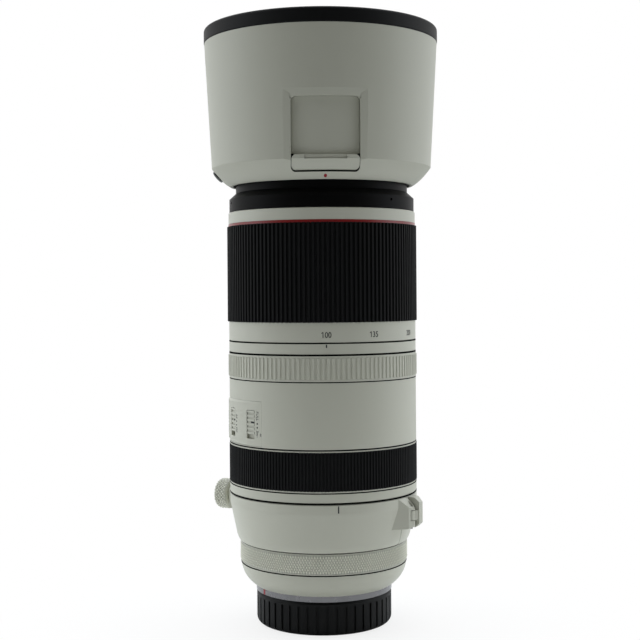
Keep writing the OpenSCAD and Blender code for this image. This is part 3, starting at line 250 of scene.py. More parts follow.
def moulded_polycarbonate(tint):
    # Spark-eroded mould texture on glass-filled polycarbonate: dull black with a soft sheen.
    tree, place = start("moulded polycarbonate")
    bump, grit = grain(tree, place, 0.4, 0.02, 4.0)
    show(tree, Base_Color=mottle(tree, place, tint, 20, 0.10), Normal=bump,
         Roughness=between(tree, grit, 0.45, 0.58), Specular_IOR_Level=0.17)


def polished_polycarbonate(tint):
    # The hood's button, rubbed smooth by the thumb: the same plastic with a brighter sheen.
    tree, place = start("polished polycarbonate")
    bump, grit = grain(tree, place, 0.4, 0.006)
    show(tree, Base_Color=mottle(tree, place, tint, 20, 0.10), Normal=bump,
         Roughness=between(tree, grit, 0.28, 0.36), Specular_IOR_Level=0.6)


def turned_lines(tree, place, radian, depth):
    """A normal crossed by the rings that a lathe tool leaves, and the rings as waves."""
    radians = 20  # in one unit of Blender's bands
    rings = add(tree, "ShaderNodeTexWave", {"Vector": place, "Scale": per(radian) / radians,
                                            "Distortion": 0.6, "Detail": 1.0},
                wave_type="BANDS", bands_direction="Z")
    bump = add(tree, "ShaderNodeBump", {"Height": rings.outputs["Fac"], "Distance": depth * MM})
    return bump.outputs[0], rings.outputs["Fac"]


def black_anodising(tint):
    # Turned aluminium, bead blasted and anodised black: deep black that lifts at the edges.
    tree, place = start("black anodised aluminium")
    bump, grit = grain(tree, place, 0.3, 0.010)
    show(tree, Base_Color=mottle(tree, place, tint, 25, 0.08), Normal=bump,
         Roughness=between(tree, grit, 0.40, 0.48), Specular_IOR_Level=0.09)


def flocked_lining(tint):
    # Short nylon fibres on glue: drinks light, with a faint fuzz at a low angle.
    tree, place = start("flocked nylon")
    bump, _ = grain(tree, place, 0.5, 0.12, 5.0)
    show(tree, Base_Color=mottle(tree, place, tint, 6, 0.25), Normal=bump,
         Roughness=0.95, Specular_IOR_Level=0.1, Sheen_Weight=0.25, Sheen_Roughness=0.6)


def pressed_felt(tint):
    # Wool felt pressed into the joints to keep light and dust out: flat black, a little hairy. Where it lips over
    # the barrel it is painted shade.
    tree, place = start("pressed felt")
    bump, _ = grain(tree, place, 0.15, 0.05, 5.0)
    show(tree, Base_Color=mottle(tree, place, tint, 2, 0.2), Normal=bump,
         Roughness=0.95, Specular_IOR_Level=0.05)


def red_lacquer(tint):
    # Lacquered ring under a clear coat: glossy, slightly uneven.
    tree, place = start("red lacquer")
    bump, peel = grain(tree, place, 0.8, 0.006)
    show(tree, Base_Color=mottle(tree, place, tint, 8, 0.05), Normal=bump,
         Roughness=between(tree, peel, 0.30, 0.38), Coat_Weight=0.2, Coat_Roughness=0.12)


def plated_steel(tint):
    # Turned and polished mount metal: bright, with rings left by the tool and light scuffs.
    tree, place = start("polished stainless steel")
    bump, _ = turned_lines(tree, place, 0.35, 0.004)
    scuff = add(tree, "ShaderNodeTexNoise", {"Vector": place, "Scale": per(3), "Detail": 6.0})
    show(tree, Base_Color=mottle(tree, place, tint, 10, 0.04), Normal=bump, Metallic=1.0,
         Roughness=between(tree, scuff.outputs["Fac"], 0.24, 0.38))


def gold_plate(tint):
    # Plated contacts: soft gold, worn a little duller where they are rubbed.
    tree, place = start("gold plate")
    rub = add(tree, "ShaderNodeTexNoise", {"Vector": place, "Scale": per(0.6), "Detail": 3.0})
    show(tree, Base_Color=mottle(tree, place, tint, 1.0, 0.06), Metallic=1.0,
         Roughness=between(tree, rub.outputs["Fac"], 0.2, 0.4))


def grey_anodising(tint):
    # Drawn tube, turned and anodised grey: fine rings and a low sheen.
    tree, place = start("grey anodised aluminium")
    bump, rings = turned_lines(tree, place, 0.4, 0.004)
    show(tree, Base_Color=mottle(tree, place, tint, 18, 0.05), Normal=bump, Metallic=0.9,
         Roughness=between(tree, rings, 0.38, 0.46))


def turned_brass(tint):
    # Free-cutting brass pins: yellow, with tool marks and a thin tarnish.
    tree, place = start("turned brass")
    bump, rings = turned_lines(tree, place, 0.3, 0.005)
    show(tree, Base_Color=mottle(tree, place, tint, 3, 0.12), Normal=bump, Metallic=1.0,
         Roughness=between(tree, rings, 0.28, 0.4))


def blackened_steel(tint):
    # Spring steel blades with a dry black film: dark and even, scuffed where they slide.
    tree, place = start("blackened spring steel")
    bump, scuff = grain(tree, place, 0.6, 0.004, 5.0)
    show(tree, Base_Color=mottle(tree, place, tint, 7, 0.2), Normal=bump, Metallic=0.6,
         Roughness=between(tree, scuff, 0.42, 0.55))


def coated_glass(tint):
    # Polished optical glass with a multi-layer coating: clear, with a faint violet reflection.
    # The dark tint takes the reflection down to the half per cent that a coating leaves.
    tree, place = start("coated optical glass")
    film = add(tree, "ShaderNodeTexNoise", {"Vector": place, "Scale": per(30), "Detail": 1.0})
    show(tree, Base_Color=tint, Roughness=between(tree, film.outputs["Fac"], 0.0, 0.015), IOR=1.52,
         Transmission_Weight=1.0, Specular_Tint=linear("#5f5a86"))


def printed_ink(name, tint):
    # Screen-printed ink, baked with the paint: flat, with a slight tooth.
    tree, place = start(name)
    bump, tooth = grain(tree, place, 0.25, 0.006)
    show(tree, Base_Color=mottle(tree, place, tint, 1.5, 0.06), Normal=bump,
         Roughness=between(tree, tooth, 0.5, 0.6))


FINISH_OF = {
    "white_paint": "baked enamel on magnesium",
    "hood_white": "painted polycarbonate",
    "black_plastic": "moulded polycarbonate",
    "black_anodised": "black anodised aluminium",
    "flocking": "flocked nylon",
    "rubber": "moulded rubber",
    "red_line": "red lacquer",
    "mount_metal": "polished stainless steel",
    "contact_gold": "gold plate",
    "bare_aluminium": "grey anodised aluminium",
    "brass": "turned brass",
    "blade_steel": "blackened spring steel",
    "glass": "coated optical glass",
}


def on_barrel(r, angle, z):
    """A point at an angle round the optical axis."""
    return Vector((r * math.sin(angle), -r * math.cos(angle), z))


def wall(*nodes, inside=False):
    """A side of some solids, as a function that gives its radius at an angle and a height."""
    points, faces = [], []
    for node in nodes:
        mesh = frame["nodes"][node].data
        faces += [[len(points) + i for i in f.vertices] for f in mesh.polygons]
        points += [v.co for v in mesh.vertices]
    skin = BVHTree.FromPolygons(points, faces)
    begin, way = (0.0, 1) if inside else (max(p.length for p in points), -1)

    def radius(angle, z):
        hit = skin.ray_cast(on_barrel(begin, angle, z), on_barrel(way, angle, 0))[0]
        return math.hypot(hit.x, hit.y)
    return radius


def piece(name, bm, body, material, sharp=35):
    """Makes a piece of the built mesh and lets it ride on its body."""
    bmesh.ops.remove_doubles(bm, verts=bm.verts, dist=1e-7)
    bmesh.ops.recalc_face_normals(bm, faces=bm.faces)
    mesh = bpy.data.meshes.new(name)
    bm.to_mesh(mesh)
    bm.free()
    mesh.shade_smooth()
    mesh.set_sharp_from_angle(angle=math.radians(sharp))
    mesh.materials.append(bpy.data.materials[material])
    obj = bpy.data.objects.new(name, mesh)
    bpy.context.scene.collection.objects.link(obj)
    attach(obj, body)
    return obj


def loops(bm, rings, closed=False):
    """Joins rings of points into a skin; closed also joins the last ring to the first."""
    rows = [[bm.verts.new(p) for p in ring] for ring in rings]
    pairs = list(zip(rows, rows[1:])) + ([(rows[-1], rows[0])] if closed else [])
    for a, b in pairs:
        for i in range(len(a)):
            k = (i + 1) % len(a)
            bm.faces.new((a[i], a[k], b[k], b[i]))
    return rows


def revolved(bm, profile, place, steps=96):
    """A closed profile turned about an axis; place gives a point for a radius, turn and height."""
    rings = [[place(r, 2 * math.pi * k / steps, h) for k in range(steps)] for r, h in profile]
    loops(bm, rings, closed=True)


def plate(bm, place, width, height, steps=6):
    """A thin printed plate; place gives a point for across, up and out (0 under, 1 on top)."""
    rings = []
    for out in (0, 1):
        lower = [(width * (k / steps - 0.5), -height / 2) for k in range(steps + 1)]
        upper = [(x, height / 2) for x, _ in reversed(lower)]
        rings.append([place(x, y, out) for x, y in lower + upper])
    under, top = loops(bm, rings)
    for k in range(steps):
        far = len(top) - 1 - k
        bm.faces.new((top[k], top[k + 1], top[far - 1], top[far]))
        bm.faces.new((under[far], under[far - 1], under[k + 1], under[k]))


def dot(bm, place, radius, steps=20):
    """A thin round printed dot that follows a curved surface."""
    turns = [2 * math.pi * k / steps for k in range(steps)]
    rings = [[place(r * math.cos(t), r * math.sin(t), out) for t in turns]
             for r, out in ((radius / 2, 0), (radius, 0), (radius, 1), (radius / 2, 1))]
    rows = loops(bm, rings)
    for ring, out in ((rows[0], 0), (rows[-1], 1)):
        centre = bm.verts.new(place(0, 0, out))
        for a, b in zip(ring, ring[1:] + ring[:1]):
            bm.faces.new((a, b, centre))


def lettering(bm, words, height, place, narrow=0.86, bold=0.0):
    """Thin printed words; place gives a point for across, up and out (0 under, 1 on top)."""
    cap_height = 0.73  # of the font's size
    curve = bpy.data.curves.new("lettering", "FONT")
    curve.body = words
    curve.size = height / cap_height
    curve.align_x = "CENTER"
    curve.align_y = "CENTER"
    curve.extrude = 0.5
    curve.offset = bold
    curve.resolution_u = 4
    flat = bpy.data.objects.new("lettering", curve)
    bpy.context.scene.collection.objects.link(flat)
    graph = bpy.context.evaluated_depsgraph_get()
    mesh = bpy.data.meshes.new_from_object(flat.evaluated_get(graph))
    if words.startswith("1"):
        # The font's figure 1 is a bare stroke, so it gets the flag that engraved figures have
        parting, long, drop, thick = (part * height for part in (0.004, 0.2, 0.16, 0.17))
        left = min(v.co.x for v in mesh.vertices) * narrow - parting
        top = max(v.co.y for v in mesh.vertices)
        corners = ((left - long, top - drop - thick), (left, top - thick), (left, top),
                   (left - long, top - drop))
        under, ink = loops(bm, [[place(x, y, out) for x, y in corners] for out in (0, 1)])
        bm.faces.new(reversed(under))
        bm.faces.new(ink)
    for v in mesh.vertices:
        v.co = place(v.co.x * narrow, v.co.y, 1 if v.co.z > 0 else 0)
    bm.from_mesh(mesh)
    bpy.data.objects.remove(flat)
    bpy.data.curves.remove(curve)
    bpy.data.meshes.remove(mesh)


def printed_on(outside, angle, z, ink, quarter_turn=False):
    """Places flat print on a solid's outside, upright or reading down the barrel."""
    middle = outside(angle, z)

    def place(x, y, out):
        if quarter_turn:
            x, y = y, -x
        turn = angle + x / middle
        return on_barrel(outside(turn, z + y) - HAIR + out * (HAIR + ink), turn, z + y)
    return place


def knurl(bm, place, around, rows):
    """A closed band of diamond points; place gives a point for turn, height and rise."""
    points = {}
    last = 2 * rows
    groove = bm.verts.layers.float.new("groove")

    def point(i, j, rise):
        key = (i % (2 * around), j, rise)
        if key not in points:
            points[key] = bm.verts.new(place(math.pi * i / around, j / last, rise))
            # The groove layer marks the low points, which the knurled enamel darkens as painted shade.
            points[key][groove] = 0.0 if rise > 0 else 1.0
        return points[key]

    for i in range(2 * around):
        for j in range(1, last):
            if (i + j) % 2:
                continue
            ring = [point(i - 1, j, 0), point(i, j - 1, 0), point(i + 1, j, 0), point(i, j + 1, 0)]
            tip = point(i, j, 1)
            for a, b in zip(ring, ring[1:] + ring[:1]):
                bm.faces.new((a, b, tip))
    for i in range(0, 2 * around, 2):
        bm.faces.new((point(i - 1, 0, 0), point(i + 1, 0, 0), point(i, 1, 0)))
        bm.faces.new((point(i + 1, last, 0), point(i - 1, last, 0), point(i, last - 1, 0)))
        low = [point(i - 1, 0, 0), point(i + 1, 0, 0), point(i + 1, 0, -1), point(i - 1, 0, -1)]
        high = [point(i + 1, last, 0), point(i - 1, last, 0),
                point(i - 1, last, -1), point(i + 1, last, -1)]
        back = [low[3], low[2], high[3], high[2]]
        for face in (low, high, back):
            bm.faces.new(face)


class LENS_OT_finishes(bpy.types.Operator):
    """Make the finishes and give them to the solids"""

    bl_idname = "lens.finishes"
    bl_label = "Finishes"

    def execute(self, context):
        c = context.scene.lens_colours
        baked_paint(c.barrel_paint)
        knurled_paint(c.barrel_paint)
        painted_polycarbonate(c.hood_paint)
        moulded_polycarbonate(c.plastic)
        polished_polycarbonate(c.button)
        black_anodising(c.anodised)
        flocked_lining(c.flock)
        moulded_rubber(c.rubber)
        pressed_felt(c.felt)
        red_lacquer(c.red_lacquer)
        plated_steel(c.steel)
        gold_plate(c.gold)
        grey_anodising(c.aluminium)
        turned_brass(c.brass)
        blackened_steel(c.blade)
        coated_glass(c.glass)
        printed_ink("black printed ink", c.black_ink)
        printed_ink("red printed ink", c.red_ink)
        for name, obj in frame["nodes"].items():
            obj.data.materials.clear()
            obj.data.materials.append(bpy.data.materials[FINISH_OF[SLOT_OF[name]]])
        return {"FINISHED"}


class LENS_OT_joint_seals_and_shade(bpy.types.Operator):
    """Lay the felt rings that close the joints of the barrel, with lips over the fixed side that are painted shade
    of the joints
    """

    bl_idname = "lens.joint_seals"
    bl_label = "Joint seals"

    def execute(self, context):
        gap = context.scene.lens_sizes.joint
        deep, skin, proud = 1.6 * MM, 0.005 * MM, 0.025 * MM
        barrel_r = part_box("main_barrel")[1].x
        # Moving piece, its face, width of the joint in gaps, lip on the fixed side in mm; the lip is painted shade
        joints = (("control_ring", -1, 1, 0.08), ("control_ring", 1, 1, 0.16),
                  ("collar_front_half", 1, 2, 0.02), ("focus_sleeve", -1, 1, 0.16),
                  ("focus_sleeve", 1, 1, 0.24), ("torque_ring", -1, 1, 0.24),
                  ("torque_ring", 1, 1, 0.6), ("zoom_sleeve", -1, 1, 0.24))
        bm = bmesh.new()
        for node, side, gaps, shade_lip in joints:
            low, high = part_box(node)
            r = min(-low.y, barrel_r)
            wide = gaps * gap
            # The felt fills the joint; its lip over the fixed side is painted shade that widens the dark line of
            # the joint.
            section = ((r - deep, HAIR), (r + proud, HAIR), (r + proud, wide + shade_lip * MM),
                       (r + skin, wide + shade_lip * MM), (r + skin, wide - HAIR),
                       (r - deep, wide - HAIR))
            face = high.z if side > 0 else low.z
            revolved(bm, [(radius, face + side * off) for radius, off in section], on_barrel,
                     steps=180)
        piece("joint_seals_and_shade", bm, "barrel", "pressed felt")
        return {"FINISHED"}


class LENS_OT_control_knurl(bpy.types.Operator):
    """Cut the diamond knurl of the control ring"""

    bl_idname = "lens.control_knurl"
    bl_label = "Control ring knurl"

    def execute(self, context):
        s = context.scene.lens_sizes
        low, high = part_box("control_ring")
        r = high.x
        # Plain edge of the ring, and height of a point over its width
        edge, steep = 0.55 * MM, 1.6
        tall = high.z - low.z - 2 * edge
        lift = (GROOVE, s.knurl_depth, -ROOT)

        def place(turn, height, rise):
            return on_barrel(r + lift[rise], turn, low.z + edge + tall * height)
        bm = bmesh.new()
        knurl(bm, place, round(2 * math.pi * r / s.knurl_pitch),
              round(tall / (steep * s.knurl_pitch)))
        piece("control_knurl", bm, "control", "baked enamel on a knurl", sharp=20)
        return {"FINISHED"}


class LENS_OT_knob_knurl(bpy.types.Operator):
    """Cut the diamond knurl of the collar's clamping knob"""

    bl_idname = "lens.knob_knurl"
    bl_label = "Knob knurl"

    def execute(self, context):
        s = context.scene.lens_sizes
        joint = JOINTS["knob_turn"]
        axis = Vector(joint["axis"]).normalized()
        side = axis.cross(Vector((0, 0, 1)))
        up = Vector((0, 0, joint["pos_m"][2]))
        # The knurl runs along the grip and 60 degrees round its outer edge
        r, from_axis, straight, edge = 7.4 * MM, 53.0 * MM, 4.9 * MM, 2.2 * MM
        wide = straight + edge * math.radians(60)
        coarser = 1.35
        lift = (GROOVE, s.knurl_depth, -ROOT)

        def place(turn, height, rise):
            bent = max(0.0, wide * height - straight) / edge
            round_edge = edge + lift[rise]
            out = r - edge + round_edge * math.cos(bent)
            along = from_axis + min(wide * height, straight) + round_edge * math.sin(bent)
            across = side * math.cos(turn) + Vector((0, 0, 1)) * math.sin(turn)
            return up + axis * along + across * out
        bm = bmesh.new()
        pitch = coarser * s.knurl_pitch
        knurl(bm, place, round(2 * math.pi * r / pitch), round(wide / pitch))
        piece("knob_knurl", bm, "knob", "baked enamel on a knurl", sharp=20)
        return {"FINISHED"}


class LENS_OT_zoom_scale(bpy.types.Operator):
    """Print the zoom scale and its index"""

    bl_idname = "lens.zoom_scale"
    bl_label = "Zoom scale"

    def execute(self, context):
        s = context.scene.lens_sizes
        above_edge, bold = 3.5 * MM, 0.04 * MM
        below_edge, wide, tall = 1.3 * MM, 0.6 * MM, 1.5 * MM
        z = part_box("zoom_sleeve")[0].z + above_edge
        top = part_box("main_barrel")[1].z
        sleeve = wall("zoom_sleeve")
        # Focal lengths in mm and their angles in degrees
        steps = {"100": 0, "135": 29.2, "200": 61.4, "300": 92, "400": 115, "500": 135}
        bm = bmesh.new()
        for words, angle in steps.items():
            place = printed_on(sleeve, math.radians(angle), z, s.ink)
            lettering(bm, words, s.figure, place, bold=bold)
        piece("zoom_figures", bm, "zoom", "black printed ink")
        bm = bmesh.new()
        plate(bm, printed_on(wall("main_barrel"), 0, top - below_edge, s.ink), wide, tall)
        piece("zoom_index", bm, "barrel", "black printed ink")
        return {"FINISHED"}


class LENS_OT_index_marks(bpy.types.Operator):
    """Print the collar, mount and hood marks"""

    bl_idname = "lens.index_marks"
    bl_label = "Index marks"

    def execute(self, context):
        ink = context.scene.lens_sizes.ink

        def bar(name, body, node, angle, below, wide, tall, finish):
            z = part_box(node)[1].z - below * MM
            bm = bmesh.new()
            plate(bm, printed_on(wall(node), math.radians(angle), z, ink), wide * MM, tall * MM)
            piece(name, bm, body, finish)

        bar("collar_index", "gate", "collar_front_half", angle=6.3, below=2.4, wide=0.6, tall=3.3,
            finish="black printed ink")
        bar("mount_index", "barrel", "lens_mount", angle=-62, below=1.4, wide=1.8, tall=2.7,
            finish="red printed ink")

        above, radius = 1.35 * MM, 0.75 * MM
        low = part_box("hood_shell")[0].z
        bm = bmesh.new()
        dot(bm, printed_on(wall("hood_shell"), 0, low + above, ink), radius)
        piece("hood_index", bm, "hood", "red printed ink")
        return {"FINISHED"}


class LENS_OT_switch_labels(bpy.types.Operator):
    """Print the words and dots beside the four switches"""

    bl_idname = "lens.switch_labels"
    bl_label = "Switch labels"

    def execute(self, context):
        s = context.scene.lens_sizes
        panel = wall("switch_panel", "main_barrel")
        barrel_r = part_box("main_barrel")[1].x
        low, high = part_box("switch_panel")
        below_middle = 0.85 * MM
        mid = (low.z + high.z) / 2 - below_middle
        # Round the barrel, from a switch to its words and from those to a second row
        to_words, to_row = 4.6 * MM, 2.05 * MM
        # Along the barrel, from the middle; words start at 1.9 mm and are centred
        to_dot, to_third = 0.9 * MM, 4.3 * MM
        to_first_letter, half_letter = 1.9, 0.66
        dot_r, tick_shift, tick_wide, tick_tall = 0.42 * MM, 1.15 * MM, 2.9 * MM, 0.8 * MM
        words = (("FULL", "3m-", "∞"), ("AF", "MF", ""), ("ON", "OFF", ""), ("1", "2", "3"))
        angles = [math.radians(s.switch_at - s.switch_step * i) for i in range(4)]
        bm = bmesh.new()
        for at, (first, second, third) in zip(angles, words):
            beside = at + to_words / barrel_r
            for side in (1, -1):
                dot(bm, printed_on(panel, beside, mid + side * to_dot, s.ink), dot_r)
            for word, side in ((first, 1), (second, -1)):
                z = mid + side * (to_first_letter + half_letter * len(word)) * MM
                place = printed_on(panel, beside, z, s.ink, quarter_turn=True)
                lettering(bm, word, s.label, place, narrow=1.0)
            if third:
                place = printed_on(panel, beside + to_row / barrel_r, mid - to_third, s.ink,
                                   quarter_turn=True)
                lettering(bm, third, s.label, place)
        piece("switch_words", bm, "barrel", "black printed ink")
        for i, at in enumerate(angles, 1):
            low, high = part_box(f"switch_{i}")
            tick = printed_on(wall(f"switch_{i}"), at + tick_shift / barrel_r,
                              (low.z + high.z) / 2, s.ink)
            bm = bmesh.new()
            plate(bm, tick, tick_wide, tick_tall)
            piece(f"switch_tick_{i}", bm, f"slider_{i}", "black printed ink")
        return {"FINISHED"}


class LENS_OT_hood_button(bpy.types.Operator):
    """Mould the domed release button of the hood"""

    bl_idname = "lens.hood_button"
    bl_label = "Hood button"

    def execute(self, context):
        dome = context.scene.lens_sizes.dome
        out = -Vector(JOINTS["button_press"]["axis"]).normalized()
        across = out.cross(Vector((0, 0, 1))).normalized()
        up = across.cross(out)
        # The middle of the solid's flat top, which the dome just reaches
        points = [v.co for v in frame["nodes"]["hood_button"].data.vertices]
        top = max(p.dot(out) for p in points)
        flat = 0.01 * MM
        face = [p for p in points if top - p.dot(out) < flat]
        middle = Vector()
        for axis in (across, up):
            spread = [p.dot(axis) for p in face]
            middle += axis * (max(spread) + min(spread)) / 2
        mid = out * top + middle

        def outline(long, wide, corner, depth, scale=1.0):
            ring = []
            for side_x, side_y, first in ((1, 1, 0), (-1, 1, 90), (-1, -1, 180), (1, -1, 270)):
                for k in range(9):
                    t = math.radians(first + 90 * k / 8)
                    x = side_x * (long / 2 - corner) + corner * math.cos(t)
                    y = side_y * (wide / 2 - corner) + corner * math.sin(t)
                    ring.append(mid + (across * x + up * y) * scale * MM - out * depth)
            return ring

        # Length, width and corner radius in mm
        grip, flange = (11, 6, 2.6), (12.6, 7.6, 3)
        flange_back, flange_front = 5.2 * MM, 4.2 * MM
        rings = [outline(*flange, flange_back), outline(*flange, flange_front),
                 outline(*grip, flange_front)]
        for degrees in range(0, 90, 10):
            t = math.radians(degrees)
            rings.append(outline(*grip, dome * (1 - math.sin(t)), math.cos(t)))
        bm = bmesh.new()
        rows = loops(bm, rings)
        bm.faces.new(reversed(rows[0]))
        crown = bm.verts.new(mid)
        for a, b in zip(rows[-1], rows[-1][1:] + rows[-1][:1]):
            bm.faces.new((a, b, crown))
        button = piece("hood_button_domed", bm, "button", "polished polycarbonate")
        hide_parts("hood_button")
        return {"FINISHED"}


class LENS_OT_bowl_flock(bpy.types.Operator):
    """Flock the floor of the hood, but for the ways of its door and its button"""

    bl_idname = "lens.bowl_flock"
    bl_label = "Bowl flock"

    def execute(self, context):
        pile = context.scene.lens_sizes.pile
        # Degrees, from the door to the button and from the button back to the door
        arcs = ((28, 260), (276, 332))
        plain_side = math.radians(150)
        floor = wall("hood_shell", inside=True)
        above_foot, below_lining = 3.2 * MM, 0.05 * MM
        z0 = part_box("hood_shell")[0].z + above_foot
        z1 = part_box("hood_lining")[0].z - below_lining
        rises = [z0 + (z1 - z0) * k / 10 for k in range(11)]
        under = [(floor(plain_side, z) - HAIR, z) for z in rises]
        profile = under + [(r - pile, z) for r, z in reversed(under)]
        bm = bmesh.new()
        for first, last in arcs:
            turns = [math.radians(a) for a in range(first, last + 1)]
            rows = loops(bm, [[on_barrel(r, turn, z) for r, z in profile] for turn in turns])
            bm.faces.new(reversed(rows[0]))
            bm.faces.new(rows[-1])
        piece("bowl_flock", bm, "hood", FINISH_OF["flocking"])
        return {"FINISHED"}


class LENS_OT_threads(bpy.types.Operator):
    """Cut the filter thread and the tripod thread"""

    bl_idname = "lens.threads"
    bl_label = "Threads"

    def execute(self, context):
        s = context.scene.lens_sizes
        mounts = {mount["name"]: mount for mount in frame["record"]["mounts"]}

        def ridges(pitch, turns, crest, root, back):
            profile = [(back, 0.0)]
            for k in range(turns):
                profile += [(root, k * pitch), (crest, (k + 0.5) * pitch)]
            return profile + [(root, turns * pitch), (back, turns * pitch)]

        _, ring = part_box("front_ring")
        r = mounts["filter_thread"]["dims"]["r_mm"] * MM
        turns, lead_in, crest, back = 5, 0.5 * MM, 0.36 * MM, 0.15 * MM
        z0 = ring.z - lead_in - turns * s.filter_pitch

        bm = bmesh.new()
        revolved(bm, ridges(s.filter_pitch, turns, r - crest, r - HAIR, r + back),
                 lambda radius, turn, h: on_barrel(radius, turn, z0 + h), steps=120)
        piece("filter_thread", bm, "front", FINISH_OF["black_anodised"],
              sharp=20)

        socket = mounts["tripod_thread"]
        axis = Vector(socket["axis"]).normalized()
        side = axis.cross(Vector((0, 0, 1))).normalized()
        up = side.cross(axis)
        mouth = Vector(socket["pos_m"]) + axis * (socket["dims"]["length_mm"] / 2 * MM)
        r = socket["dims"]["r_mm"] * MM
        turns, lead_in, crest, back = 5, 0.3 * MM, 0.55 * MM, 0.4 * MM
        deep = turns * s.tripod_pitch

        def in_foot(radius, turn, h):
            across = side * math.cos(turn) + up * math.sin(turn)
            return mouth - axis * (lead_in + deep - h) + across * radius
        bm = bmesh.new()
        revolved(bm, ridges(s.tripod_pitch, turns, r - crest, r - HAIR, r + back), in_foot,
                 steps=48)
        piece("tripod_thread", bm, "collar", FINISH_OF["mount_metal"], sharp=20)
        return {"FINISHED"}


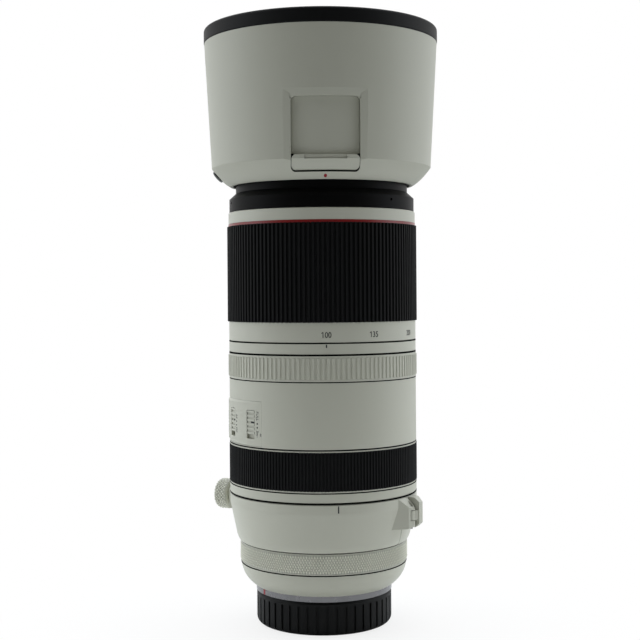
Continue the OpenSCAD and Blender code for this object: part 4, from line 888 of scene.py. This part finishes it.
class LENS_OT_stage(bpy.types.Operator):
    """Set the floor, the light and the camera"""

    bl_idname = "lens.stage"
    bl_label = "Stage"

    def execute(self, context):
        scene = context.scene
        scene.view_settings.view_transform = "Standard"
        self.floor(scene)
        self.light(scene)
        self.camera(scene)
        return {"FINISHED"}

    def floor(self, scene):
        wide = 4.0
        mesh = bpy.data.meshes.new("floor")
        mesh.from_pydata([(-wide, -wide, 0), (wide, -wide, 0), (wide, wide, 0), (-wide, wide, 0)],
                         [], [(0, 1, 2, 3)])
        floor = bpy.data.objects.new("floor", mesh)
        scene.collection.objects.link(floor)
        tree, place = start("matt studio floor")
        # White paper: it takes a soft shadow, and seen directly it runs into the white background.
        # Its colour holds a painted pool of light: brightest round the lens, falling off to grey towards the dark
        # side of the studio.
        far = add(tree, "ShaderNodeVectorMath", {0: place}, operation="LENGTH").outputs["Value"]
        light_pool = add(tree, "ShaderNodeMapRange", {"Value": far, "From Min": 0.1, "From Max": 0.6},
                   interpolation_type="SMOOTHSTEP")
        # Painted pool of light: the paper's colour greys away from the lens.
        pool_edge_grey = [c * 0.35 for c in scene.lens_colours.floor[:3]] + [1.0]
        shade = add(tree, "ShaderNodeMix", {0: light_pool.outputs[0], 6: scene.lens_colours.floor,
                                            7: pool_edge_grey}, data_type="RGBA")
        paper = add(tree, "ShaderNodeBsdfDiffuse", {"Color": shade.outputs[2]})
        white = add(tree, "ShaderNodeEmission", {"Strength": 1.0})
        fade = add(tree, "ShaderNodeMapRange", {"Value": far, "From Min": 0.03, "From Max": 0.16,
                                                "To Min": 0.8, "To Max": 1.0})
        path = add(tree, "ShaderNodeLightPath").outputs
        seen = add(tree, "ShaderNodeMath", {0: path["Is Camera Ray"],
                                            1: path["Is Transmission Ray"]}, operation="MAXIMUM")
        amount = add(tree, "ShaderNodeMath", {0: seen.outputs[0], 1: fade.outputs[0]},
                     operation="MULTIPLY")
        mix = add(tree, "ShaderNodeMixShader", {0: amount.outputs[0], 1: paper.outputs[0],
                                                2: white.outputs[0]})
        add(tree, "ShaderNodeOutputMaterial", {"Surface": mix.outputs[0]})
        mesh.materials.append(bpy.data.materials["matt studio floor"])

    def light(self, scene):
        # A white tent that is open, and so darker, on the side of the photographer.
        world = bpy.data.worlds.new("studio")
        scene.world = world
        world.use_nodes = True
        tree = world.node_tree
        tree.nodes.clear()
        way = add(tree, "ShaderNodeTexCoord").outputs["Generated"]
        axes = add(tree, "ShaderNodeSeparateXYZ", {0: way}).outputs
        tent = add(tree, "ShaderNodeMapRange", {"Value": axes["Y"], "From Min": -0.7,
                                                "From Max": 0.3, "To Min": 0.04, "To Max": 2.35},
                   interpolation_type="SMOOTHSTEP")
        tint = add(tree, "ShaderNodeMix", {0: tent.outputs[0], 6: linear("#fffbee"),
                                           7: linear("#f3f8ff")}, data_type="RGBA")
        behind = add(tree, "ShaderNodeMapRange", {"Value": axes["Y"], "From Min": -0.1,
                                                  "From Max": 0.4, "To Min": 0.0, "To Max": 1.0})
        path = add(tree, "ShaderNodeLightPath").outputs
        sharp = add(tree, "ShaderNodeMath", {0: path["Is Glossy Ray"],
                                             1: path["Is Transmission Ray"]}, operation="MAXIMUM")
        mirrored = add(tree, "ShaderNodeMath", {0: sharp.outputs[0], 1: behind.outputs[0]},
                       operation="MULTIPLY")
        seen = add(tree, "ShaderNodeMath", {0: path["Is Camera Ray"], 1: mirrored.outputs[0]},
                   operation="MAXIMUM")
        lit = add(tree, "ShaderNodeBackground", {"Color": tint.outputs[2],
                                                 "Strength": tent.outputs[0]})
        white = add(tree, "ShaderNodeBackground", {"Color": (1, 1, 1, 1), "Strength": 1.0})
        mix = add(tree, "ShaderNodeMixShader", {0: seen.outputs[0], 1: lit.outputs[0],
                                                2: white.outputs[0]})
        add(tree, "ShaderNodeOutputWorld", {"Surface": mix.outputs[0]})

    def camera(self, scene):
        # Level camera in front of the lens, a little left of the zoom index.
        azimuth, roll = math.radians(-2.3), math.radians(-0.4)
        away, height = 622 * MM, 163.5 * MM
        # Focal length, picture width, lens axis and horizon in pixels of the photograph
        focal, frame_px, sensor = 1250, 640, 36
        centre_x, horizon = 322.1, 290
        data = bpy.data.cameras.new("camera")
        data.sensor_width = sensor
        data.lens = sensor * focal / frame_px
        data.shift_x = (frame_px / 2 - centre_x) / frame_px
        data.shift_y = (horizon - frame_px / 2) / frame_px
        data.clip_start = 0.01
        camera = bpy.data.objects.new("camera", data)
        scene.collection.objects.link(camera)
        spot = on_barrel(away, azimuth, height)
        turn = (Matrix.Rotation(azimuth, 4, "Z") @ Matrix.Rotation(math.radians(90), 4, "X")
                @ Matrix.Rotation(roll, 4, "Z"))
        camera.matrix_world = Matrix.Translation(spot) @ turn
        scene.camera = camera


OPERATORS = (LENS_OT_finishes, LENS_OT_joint_seals_and_shade, LENS_OT_control_knurl, LENS_OT_knob_knurl,
             LENS_OT_zoom_scale, LENS_OT_index_marks, LENS_OT_switch_labels, LENS_OT_hood_button,
             LENS_OT_bowl_flock, LENS_OT_threads, LENS_OT_stage)


class VIEW3D_PT_lens(bpy.types.Panel):
    """Steps and settings of the lens"""

    bl_label = "Zoom lens"
    bl_idname = "VIEW3D_PT_lens"
    bl_space_type = "VIEW_3D"
    bl_region_type = "UI"
    bl_category = "Lens"

    def draw(self, context):
        for operator in OPERATORS:
            self.layout.operator(operator.bl_idname)
        for group in (context.scene.lens_colours, context.scene.lens_sizes):
            box = self.layout.box()
            for name in group.__annotations__:
                box.prop(group, name)


CLASSES = (LensColours, LensSizes) + OPERATORS + (VIEW3D_PT_lens,)


def register():
    for cls in CLASSES:
        bpy.utils.register_class(cls)
    bpy.types.Scene.lens_colours = PointerProperty(type=LensColours)
    bpy.types.Scene.lens_sizes = PointerProperty(type=LensSizes)


def unregister():
    del bpy.types.Scene.lens_sizes
    del bpy.types.Scene.lens_colours
    for cls in reversed(CLASSES):
        bpy.utils.unregister_class(cls)


def main():
    register()
    for operator in OPERATORS:
        group, name = operator.bl_idname.split(".")
        getattr(getattr(bpy.ops, group), name)()


if __name__ == "__main__":
    main()
